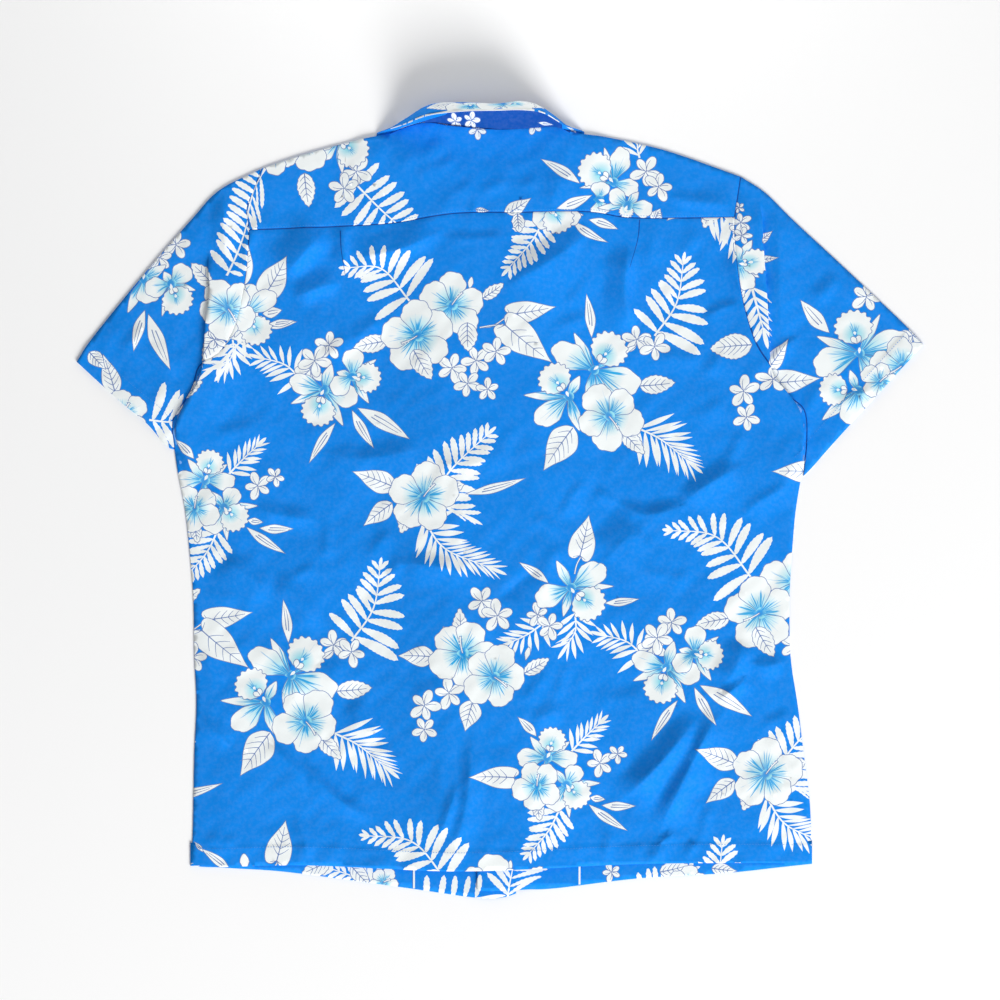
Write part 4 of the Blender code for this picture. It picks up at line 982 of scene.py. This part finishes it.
def cottonMaterial(name, colour, petal, inner):
    material, nodes, links, shader = newMaterial(name, cottonFinish)

    def node(kind, output, inputs, **settings):
        made = nodes.new(f"ShaderNode{kind}")
        for setting, value in settings.items():
            setattr(made, setting, value)
        for socket, value in inputs.items():
            if isinstance(value, bpy.types.NodeSocket):
                links.new(value, made.inputs[socket])
            else:
                made.inputs[socket].default_value = value
        return made.outputs[output]

    def mixed(factor, a, b):
        return node("Mix", 2, {0: factor, 6: a, 7: b}, data_type="RGBA")  # its colour sockets

    def ranged(value, low, high, start=0.0, end=1.0):
        ends = {"From Min": low, "From Max": high, "To Min": start, "To Max": end}
        return node("MapRange", "Result", {"Value": value, **ends})

    def maths(operation, a, b):
        return node("Math", "Value", {0: a, 1: b}, operation=operation)

    def noisy(vector, scale, detail):
        return node("TexNoise", "Fac", {"Scale": scale, "Detail": detail, "Vector": vector})

    place = node("TexCoord", "Object", {})
    base = colour
    if petal:  # aqua towards the flower's centre, with darker rays
        uv = node("UVMap", "UV", {}, uv_map="motif")
        seed = node("Attribute", "Fac", {}, attribute_name="motifSeed")
        radius = node("VectorMath", "Value", {0: uv}, operation="LENGTH")
        direction = node("VectorMath", "Vector", {0: uv}, operation="NORMALIZE")
        across = node("SeparateXYZ", "Y", {0: direction})
        turn = {"X": across, "Y": maths("MULTIPLY", seed, 3.7), "Z": maths("MULTIPLY", radius, 0.1)}
        rays = noisy(node("CombineXYZ", "Vector", turn), 15.0, 1.5)
        middle = maths("SUBTRACT", 1.0, maths("MULTIPLY", maths("POWER", across, 2.0), 1.1))
        reach = maths("MULTIPLY", maths("SUBTRACT", maths("MULTIPLY", rays, 1.9), 0.55), middle)
        base = mixed(maths("MULTIPLY", ranged(radius, 0.62, 0.16), 0.85), colour, motifInk["aqua"])
        deep = maths("MAXIMUM", ranged(maths("SUBTRACT", radius, reach), 0.03, -0.16), ranged(radius, 0.13, 0.07))
        base = mixed(deep, base, mixed(ranged(radius, 0.05, 0.4), motifInk["deep"], motifInk["streak"]))
    darker = tuple(c * 0.72 for c in colour[:3]) + (1.0,)
    base = mixed(ranged(noisy(place, 9.0, 3.0), 0.3, 0.7, 0.0, 0.1), base, darker)
    base = mixed(ranged(noisy(place, 260.0, 3.0), 0.4, 0.75, 0.0, 0.025), base, motifInk["bloom"])
    fine = node("Mapping", "Vector", {"Scale": (weaveScale,) * 3, "Vector": place})
    bands = {"Scale": 1.0, "Distortion": 0.6, "Vector": fine}
    threads = maths("MULTIPLY", *(node("TexWave", "Fac", bands, bands_direction=way) for way in "XY"))
    base = mixed(ranged(threads, 0.0, 1.0, 0.06, 0.0), base, motifInk["thread"])
    if inner:
        base = mixed(0.42, base, motifInk["wrongSide"])
    links.new(base, shader.inputs["Base Color"])
    height = maths("ADD", maths("MULTIPLY", threads, 0.4), noisy(place, 160.0, 3.0))
    normal = node("Bump", "Normal", {"Strength": 0.25, "Distance": 0.0004, "Height": height})
    links.new(normal, shader.inputs["Normal"])
    return material


print("cloth: materials")
prints = (("Ground", "ground"), ("White", "white"), ("Petal", "white"), ("Line", "line"), ("Shade", "shade"))
cotton = [
    cottonMaterial(f"cotton{name}{face}", motifInk[colour], name == "Petal", face == "Inside")
    for face in ("", "Inside") for name, colour in prints
]
threadBlue = (0.03, 0.3, 0.85, 1.0)
thread = waveringMaterial(
    "sewingThread", {"Roughness": 0.6, "Sheen Weight": 0.15}, 2400.0, (0.021, 0.21, 0.595, 1.0), threadBlue,
)
plastic = waveringMaterial(
    "buttonPlastic", {"Roughness": 0.32, "Coat Weight": 0.3}, 260.0, (0.03, 0.11, 0.4, 1), (0.08, 0.22, 0.6, 1),
)

# Rows of mesh points along the tucks, the higher folds, the seams and the hems
hemLines = (("backHem", 1, "hem"), ("cuffLeft", 1, "cuff"), ("cuffRight", -1, "cuff"))
closeRows = [beside(line, reach * side) for side, _, _, line in tuckLines for reach in tucks["rows"]]
closeRows += [
    beside(line, reach) for line, height, *_ in foldLines if abs(height) > cloth["rowFold"] for reach in (1.0, -1.0)
]
closeRows += [beside(seams[name], reach) for name in sewn["lines"] for reach in (-sewn["reach"], sewn["reach"])]
closeRows += [
    beside(seams[name], side * (sewn[depth] + reach)) for name, side, depth in hemLines for reach in (-1.0, 0.6)
]


def rowsInside(polygon, rows):  # the stretches of the rows that lie on a panel
    room = moved(anticlockwise(polygon), np.full(len(polygon), -cloth["rowRoom"]))
    kept = []
    for row in rows:
        hits = inside(row, room)
        start = None
        for k, hit in enumerate(list(hits) + [False]):
            if hit and start is None:
                start = k
            if not hit and start is not None:
                if k - start > 1:
                    kept.append(row[start:k])
                start = None
    return kept


def addShell(bm, edge, places):  # the plain inner side of a one-layer panel, and its rim
    polygon, verts = edge
    points = [Vector(p) for p in np.vstack([polygon, gridPoints(polygon, cloth["shellGrid"])])]
    flat, _, triangles, origins, _, sources = delaunay_2d_cdt(points, [], [list(range(len(polygon)))], 1, 1e-5)
    flat = np.array([tuple(p) for p in flat])
    spots = places(flat)
    fromEdge = toLine(flat, np.vstack([polygon, polygon[:1]])[::4])[0]
    sink, width = cloth["shellSink"]
    spots[:, 2] -= cloth["thickness"] + sink * smooth((fromEdge - 1) / width)
    spots[:, :2] += (flat - spots[:, :2]) * smooth(fromEdge / 5)[:, None]
    under = [bm.verts.new(p * mm) for p in spots]
    for corners, source in zip(triangles, sources):
        if 0 in source:
            face = bm.faces.new([under[i] for i in corners[::-1]])
            face.smooth = True
            face.material_index = ink["inside"]
    place = {s: i for i, group in enumerate(origins) for s in group}
    low = [under[place[i]] for i in range(len(polygon))]
    for i in range(len(polygon)):
        k = (i + 1) % len(polygon)
        bm.faces.new((verts[k], verts[i], low[i], low[k])).smooth = True


def hemRise(p, line, depth):
    return sewn["hemRise"] * (1 - smooth((toLine(p, line)[0] - depth + 1) / sewn["hemEdge"]))


# painted shade: a dark strip along each seam, standing in for the shadow in its groove
def seamShade(made):
    for name in sewn["lines"]:
        made.add("shade", strip(seams[name], sewn["shade"], sewn["shade"]))
    return made


def sewnPlaces(p):  # the yoke and sleeves, whose wall is thickened to both sides
    spots = topPlaces(p)
    spots[:, 2] -= cloth["thickness"] / 2
    return spots


def cuffPlaces(p):
    spots = sewnPlaces(p)
    spots[:, 2] += np.maximum(*(hemRise(p, seams[name], sewn["cuff"]) for name in ("cuffLeft", "cuffRight")))
    return spots


def stitches(name, line, places, node, height=0.25):  # a row of small stitches along a plan line
    bm = bmesh.new()
    along = np.concatenate([[0], np.cumsum(np.hypot(*np.diff(line, axis=0).T))])
    starts = np.arange(1.0, along[-1] - sewn["pitch"], sewn["pitch"])
    ends = [
        places(np.column_stack([np.interp(starts + shift, along, line[:, i]) for i in (0, 1)]))
        for shift in (0, 2 * sewn["stitch"][0])
    ]
    size = Matrix.Diagonal((*sewn["stitch"], 1))
    for a, b in zip(*ends):
        turn = (Vector(b) - Vector(a)).to_track_quat("X", "Z").to_matrix().to_4x4()
        middle = Matrix.Translation((Vector(a) + Vector(b)) / 2 + Vector((0, 0, height)))
        place = Matrix.Diagonal((mm, mm, mm, 1)) @ middle @ turn @ size
        bmesh.ops.create_icosphere(bm, subdivisions=1, radius=1, matrix=place)
    return finishPiece(bm, name, [thread], node)


def backPlaces(p):
    spots = topPlaces(p)
    spots[:, 2] += hemRise(p, seams["backHem"], sewn["hem"])
    sides = np.min([toLine(p, seams[name])[0] for name in ("sideLeft", "sideRight")], axis=0)
    dip, width = sewn["sideDip"]
    spots[:, 2] -= dip * (1 - smooth(sides / width))
    return spots


def overLeftFront(p):
    past = p[:, 0] - atHeight(outline["frontEdgeLeft"], p[:, 1])
    return 2 * cloth["layer"] * slope(past, *placket["overlapSlope"]) * slope(p[:, 1], *placket["vSlope"])


def raised(height):
    return lambda p: np.column_stack([p, height(p)])


print("cloth: back")
left = between(seams["armholeLeft"], outline["yokeSeam"][0], outline["underarmLeft"])
right = between(seams["armholeRight"], outline["yokeSeam"][-1], outline["underarmRight"])
backOutline = np.vstack([
    left, seams["sideLeft"][1:], seams["backHem"][1:], seams["sideRight"][-2::-1],
    right[-2::-1], seams["yokeSeam"][-2:0:-1],
])
leftOut = (("orchidHeart", -1, -1), ("hibiscusLeaf", 0, -1), ("hibiscusPair", 0, 0, "fern"))
backPrint = repeatPrint(seamShade(Print(backOutline)), skip=leftOut)
backPrint.spray(extras["backBody"])
# painted shade: thin dark strips along the pleats' folds
for places in sewn["pleats"]:
    backPrint.add("shade", strip(through(fromCorner(*places)), 1.2, 0.4))
bm = newSheet()
edge = addPanel(bm, backPrint, backPlaces, rows=rowsInside(backPrint.polygon, closeRows))
addShell(bm, edge, backPlaces)
backBody = finishPiece(bm, "backBody", cotton, "back_body")
hemRow = beside(seams["backHem"], sewn["hem"] - sewn["rowIn"])[1:-1]
hemThread = stitches("hemStitches", hemRow, backPlaces, "back_body", 0.05)

print("cloth: yoke")
left = between(seams["armholeLeft"], outline["armholeLeft"][0], outline["yokeSeam"][0])
right = between(seams["armholeRight"], outline["armholeRight"][0], outline["yokeSeam"][-1])
yokeOutline = np.vstack([
    left[:-1], seams["yokeSeam"], right[-2:0:-1], seams["shoulderRight"][::-1],
    seams["neckSeam"][-2:0:-1], seams["shoulderLeft"][:0:-1],
])
yokePrint = seamShade(Print(yokeOutline))
yokePrint.spray(extras["backYoke"])
bm = newSheet()
edge = addPanel(bm, yokePrint, sewnPlaces, rows=rowsInside(yokePrint.polygon, closeRows))
for side in ("Left", "Right"):
    frontSeam, shoulderLine = through(outline[f"frontYoke{side}"]), seams[f"shoulder{side}"]
    armEnd = frontSeam[0] if side == "Left" else frontSeam[-1]
    armPart = between(seams[f"armhole{side}"], outline[f"armhole{side}"][0], armEnd)
    if side == "Left":
        under = np.vstack([armPart[:-1], frontSeam, shoulderLine[:0:-1]])
    else:
        under = np.vstack([frontSeam[:-1], armPart[::-1], shoulderLine[-2::-1]])
    low = repeatPrint(Print(under), hiddenShift["yoke"])
    lowEdge = addPanel(bm, low, raised(lowHeight), cloth["wideGrid"], faceUp=False)
    joinFold(bm, chain(edge, shoulderLine), chain(lowEdge, shoulderLine))
backYoke = thicken(finishPiece(bm, "backYoke", cotton, "back_yoke"))
yokeThread = stitches("yokeStitches", beside(seams["yokeSeam"], sewn["yokeRow"])[1:-1], sewnPlaces, "back_yoke")

print("cloth: sleeves")
for side in ("Left", "Right"):
    name, top = f"sleeve{side}", seams[f"sleeveTop{side}"]
    sleeveOutline = np.vstack([seams[f"armhole{side}"][::-1], top[1:], seams[f"cuff{side}"][1:-1]])
    upper = seamShade(Print(sleeveOutline))
    upper.spray(extras[name])
    bm = newSheet()
    edge = addPanel(bm, upper, cuffPlaces, rows=rowsInside(upper.polygon, closeRows))
    lower = repeatPrint(Print(sleeveOutline), hiddenShift["sleeve"])
    lowEdge = addPanel(bm, lower, raised(lowHeight), cloth["wideGrid"], faceUp=False)
    joinFold(bm, chain(edge, top), chain(lowEdge, top))
    thicken(finishPiece(bm, name, cotton, f"sleeve_{side.lower()}"))
for side, turn in (("Left", 1), ("Right", -1)):
    row = beside(seams[f"cuff{side}"], turn * (sewn["cuff"] - sewn["rowIn"]))[1:-1]
    stitches(f"cuffStitches{side}", row, cuffPlaces, f"sleeve_{side.lower()}")

print("cloth: fronts")
facing = {  # the fronts' turned-in edges
    "width": 103.0,
    "shoulder": 38.0,  # width there
    "turns": (-100.0, 160.0),  # heights where its edge bends
    "lean": 6.0,  # it is this much narrower at the upper one
    "room": 10.0,  # between its lower corner and the hem's points
    "hem": 1.2,  # above the front's hem
    "slope": 0.28,  # of its end at the shoulder
    "neckLeft": (-5.2, 215),
    "neckRight": (-23.3, 215),
    "lapelFoot": (3, -8),
    "serge": 1.9,  # width of its overlocked edge
}
for side, hand in ((-1, "Left"), (1, "Right")):
    seamLine = through(outline[f"frontYoke{hand}"][::-side])
    armPart = between(seams[f"armhole{hand}"], seamLine[0], outline[f"underarm{hand}"])
    edgeLine, rollLine = through(outline[f"frontEdge{hand}"], 20), through(outline[f"roll{hand}"])
    hemLine = seams[f"frontHem{hand}"]
    neck = np.array([facing[f"neck{hand}"], outline["neckPoint"]])
    shape = np.vstack([
        armPart, seams[f"side{hand}"][1:], hemLine[1:], edgeLine[1:], neck, rollLine, seamLine[:0:-1],
    ])
    lift = lowHeight if side < 0 else (lambda p: lowHeight(p) + overLeftFront(p))
    across, down = hiddenShift["front"]
    outside = repeatPrint(Print(shape), (-across * side, down))
    bm = newSheet()
    frontChain = addPanel(bm, outside, raised(lift), cloth["wideGrid"], faceUp=False)
    inner = edgeLine[0][0] + side * facing["width"]
    shoulderPoint = seamLine[-1] + (side * facing["shoulder"], -facing["shoulder"] * facing["slope"] - 0.3)
    covered = [p for p in hemLine if abs(p[0] - edgeLine[0][0]) < facing["width"] - facing["room"]]
    bottom = np.array(covered) + (0, facing["hem"])
    lowTurn, highTurn = facing["turns"]
    facingEdge = through((
        (inner, bottom[0][1] + facing["hem"]), (inner, lowTurn), (inner - facing["lean"] * side, highTurn),
        tuple(shoulderPoint),
    ), 20)
    folded = Print(np.vstack([facingEdge[::-1], bottom, edgeLine[1:], neck, rollLine]))
    folded.spray(extras["frontHem"])
    folded.add("white", strip(beside(facingEdge, 1.0 * side), facing["serge"], facing["serge"]))
    turnUp = Print(np.vstack([hemLine, (hemLine + (0, sewn["hem"] + sewn["turnIn"]))[::-1]]))
    turnUp.spray(extras["frontHem"])
    facingChain = addPanel(bm, folded, raised(lambda p: lift(p) + cloth["layer"]), cloth["wideGrid"])
    foot = rollLine[0] + (side * facing["lapelFoot"][0], facing["lapelFoot"][1])
    lapelShape = np.vstack([rollLine[-1:], np.array(outline[f"lapel{hand}"], float), foot[None], rollLine[:-1]])
    turnedOut = repeatPrint(Print(lapelShape), hiddenShift["lapel"])
    addPanel(bm, turnedOut, raised(lambda p: np.full(len(p), cloth["low"])), cloth["wideGrid"])
    joinFold(bm, chain(facingChain, edgeLine[1:]), chain(frontChain, edgeLine[1:]))
    turnUpChain = addPanel(bm, turnUp, raised(lambda p: lift(p) + sewn["turnUp"]), cloth["wideGrid"])
    joinFold(bm, chain(turnUpChain, hemLine), chain(frontChain, hemLine))
    thicken(finishPiece(bm, f"front{hand}", cotton, f"front_{hand.lower()}"))

print("collar")
collar = {
    "sections": (  # neck seam, roll and free edge from the left leaf to the right one, and the fall's bow
        (-90.5, 339.5, 0.5, -98, 326, 0.5, -132, 300, 0.5, 0),
        (-97, 349, 0.5, -106, 341, 0.5, -131.5, 321, 0.5, 0),
        (-103, 358, 0.5, -111, 353, 0.5, -129, 345, 0.5, 0),
        (-106.5, 365.2, 0.5, -111.5, 365.8, 0.5, -124, 362.5, 0.5, 0),
        (-107.3, 368.2, 1.7, -111, 369.6, 1.9, -122.8, 366.9, 2.0, 0),
        (-101, 371.9, 4.6, -103.5, 374.9, 6.0, -104, 371.5, 13, 0.5),
        (-92, 375.1, 5.6, -91, 382.5, 9.0, -92, 374.5, 23, 1.0),
        (-76, 378.7, 5.7, -76, 391.5, 13, -77, 379.5, 36, 1.5),
        (-58, 377.2, 5.4, -60, 395.6, 15.5, -60, 382.3, 44, 2.0),
        (-30, 373.0, 5.3, -31, 395.6, 17, -31, 384.2, 50, 2.5),
        (-4, 371.3, 5.3, -3, 394.2, 18, -3, 384.5, 52, 2.5),
        (18, 372.1, 5.3, 20, 397.0, 18, 20, 385.2, 51, 2.5),
        (38, 373.3, 5.4, 38, 393.0, 16, 40, 383.5, 45, 2.0),
        (53, 374.0, 5.6, 54.5, 383.0, 11, 54.5, 378, 27, 1.0),
        (62, 372.0, 4.6, 64.5, 375.3, 6.5, 65.5, 372.6, 13, 0.5),
        (67.3, 369.4, 1.7, 71, 371, 1.9, 82.8, 368.8, 2.0, 0),
        (66.5, 366.4, 0.5, 71.5, 367.2, 0.5, 84, 364.5, 0.5, 0),
        (63, 358, 0.5, 71, 353, 0.5, 89, 345, 0.5, 0),
        (57, 349, 0.5, 66, 341, 0.5, 91.5, 321, 0.5, 0),
        (50.5, 339.5, 0.5, 58, 326, 0.5, 92, 300, 0.5, 0),
    ),
    "stand": 26.0,
    "fall": 40.0,
    "seamSink": (0, 1.2, 0.9),  # its seam lies under the yoke's
    "grid": 3.5,
    "rowIn": 4.5,  # from the free edge to its stitches
}
collarLines = through(collar["sections"], parts=12)
collarRoll = collarLines[:, 3:6]
collarAlong = np.concatenate([[0], np.cumsum(np.linalg.norm(np.diff(collarRoll, axis=0), axis=1))])
collarLength = float(collarAlong[-1])


def collarPlaces(p):
    row = np.stack([np.interp(p[:, 0], collarAlong, collarLines[:, k]) for k in range(10)], 1)
    seam, roll, free, bow = row[:, 0:3] - collar["seamSink"], row[:, 3:6], row[:, 6:9], row[:, 9:10]
    share = np.clip(p[:, 1:2] / collar["stand"], 0, 1)
    t = np.clip((p[:, 1:2] - collar["stand"]) / collar["fall"], 0, 1)
    rise = free - roll
    rise = rise / np.linalg.norm(rise, axis=1)[:, None]
    outwards = np.stack([np.zeros(len(p)), rise[:, 2], -rise[:, 1]], 1)
    spots = np.where(t > 0, roll + (free - roll) * t + outwards * bow * 4 * t * (1 - t), seam + (roll - seam) * share)
    spots[:, 2] = np.maximum(spots[:, 2], cloth["low"])
    return spots


width = collar["stand"] + collar["fall"]
steps = np.linspace(0, collarLength, 70)
up, down = np.linspace(0, width, 14)[1:-1], np.linspace(width, 0, 14)[1:-1]
rimSides = (
    (steps, np.zeros(len(steps))),
    (np.full(len(up), collarLength), up),
    (steps[::-1], np.full(len(steps), width)),
    (np.zeros(len(down)), down),
)
rim = np.vstack([np.column_stack(places) for places in rimSides])
collarPrint = Print(rim)
# painted shadow: dark blue over the stand where the collar's fall shades it
collarPrint.add("shade", np.array([(78, -1), (240, -1), (236, 24), (126, 24), (112, 12)], float))
collarPrint.fern(176, 62, (16, 22), (40, 34), (16, 8, 1.0, 60, 40), (16, 8, 1.0, 60, 40), 7)
collarPrint.leaf(126, 43, 176, 32, 17, 1)
collarPrint.leaf(24, 44, 150, 30, 9)
collarPrint.leaf(190, 34, 30, 26, 12, 1)
collarPrint.orchid(138, 54, (-80, 10, 9), ((172, 24, 20), (8, 24, 20)), ((90, 24, 8), (-130, 18, 5)))
collarPrint.orchid(172, 46, (20, 16, 16), ((178, 28, 20), (-10, 36, 20)), ((80, 24, 8), (130, 24, 7), (-60, 20, 6)))
for x, y, heading, radius in ((121, 5, 30, 9), (138, 8, 80, 9), (268, 40, 20, 13), (30, 20, 50, 12), (252, 30, 10, 12)):
    collarPrint.plumeria(x, y, heading, radius)
collarPrint.blade(206, 6, -10, 20, 3)
low, high = 62.3, width + 1  # white flowers cut by the fall's edge
for start, end in ((54, 64), (66, 71), (73, 79), (82, 92), (93, 200), (204, 212), (216, 232)):
    collarPrint.add("white", np.array([(start, low), (end, low), (end, high), (start, high)], float))
bm = newSheet()
roll = np.column_stack([steps[1:-1], np.full(len(steps) - 2, collar["stand"])])
addPanel(bm, collarPrint, collarPlaces, collar["grid"], rows=[roll])
collarPiece = thicken(finishPiece(bm, "collarBand", cotton, "collar"), 0)
collarRow = np.column_stack([np.linspace(4, collarLength - 4, 90), np.full(90, width - collar["rowIn"])])
collarThread = stitches("collarStitches", collarRow, collarPlaces, "collar", 0.0)

print("buttons")
button = {
    "ys": (198, 103, 8, -87, -182, -277),
    "rows": (  # radius and height
        (0, 0.5), (3.1, 0.5), (3.8, 0.05), (5.1, 0.05), (5.65, 0.4), (5.75, 1.0), (5.6, 1.6), (5.2, 2.0), (0, 2.0),
    ),
    "strand": (1.5, 0.3, 0.22),  # half sizes
    "apart": 0.75,  # from the middle
}
for number, y in enumerate(button["ys"], 1):
    bm = bmesh.new()
    x = atHeight(placket["centre"], y)
    line = [bm.verts.new(Vector((x + r, y, z)) * mm) for r, z in button["rows"]]
    edges = [bm.edges.new(pair) for pair in zip(line, line[1:])]
    middle = Vector((x, y, 0)) * mm
    bmesh.ops.spin(bm, geom=line + edges, axis=(0, 0, 1), cent=middle, angle=math.tau, steps=40, use_merge=True)
    bmesh.ops.remove_doubles(bm, verts=bm.verts, dist=1e-6)
    bmesh.ops.recalc_face_normals(bm, faces=bm.faces)
    for face in bm.faces:
        face.smooth = True
    for turn in (math.radians(45), math.radians(135)):
        for out in (-button["apart"], button["apart"]):
            spot = Vector((x - out * math.sin(turn), y + out * math.cos(turn), button["rows"][0][1])) * mm
            size = Matrix.Diagonal((*(half * mm for half in button["strand"]), 1))
            place = Matrix.Translation(spot) @ Matrix.Rotation(turn, 4, "Z") @ size
            strand = bmesh.ops.create_icosphere(bm, subdivisions=1, radius=1, matrix=place)
            for vert in strand["verts"]:
                for face in vert.link_faces:
                    face.material_index = 1
    finishPiece(bm, f"buttonDisc{number}", [plastic, thread], f"button_{number}")

print("stage")
pale = newMaterial("paleFloor", {"Base Color": (0.9, 0.9, 0.9, 1), "Roughness": 0.9})[0]
bm = bmesh.new()
bmesh.ops.create_grid(bm, x_segments=1, y_segments=1, size=4.0)
floor = linked("floor", meshOf(bm, "floor", [pale]))

scene = bpy.context.scene
scene.view_settings.view_transform = "Standard"
scene.world = bpy.data.worlds.new("studio")
scene.world.use_nodes = True
backdrop = scene.world.node_tree.nodes["Background"].inputs
backdrop["Color"].default_value = (1, 1, 1, 1)
backdrop["Strength"].default_value = 0.38
lamps = (  # name, place, size and power
    ("keyLight", (2.9, -5.6, 3.4), 3.6, 700),
    ("fillLight", (1.8, 1.2, 2.6), 2.4, 6),
    ("collarLight", (0.0, 0.9, 0.24), 0.45, 1.5),
)
for name, place, size, power in lamps:
    lamp = bpy.data.lights.new(name, "AREA")
    lamp.size, lamp.energy = size, power
    light = linked(name, lamp)
    light.location = place
    light.rotation_euler = (-Vector(place)).to_track_quat("-Z", "Y").to_euler()

view = bpy.data.cameras.new("camera")
view.sensor_width, view.lens = 36, 144
camera = linked("camera", view)
camera.location = (0, 0, 4)
scene.camera = camera
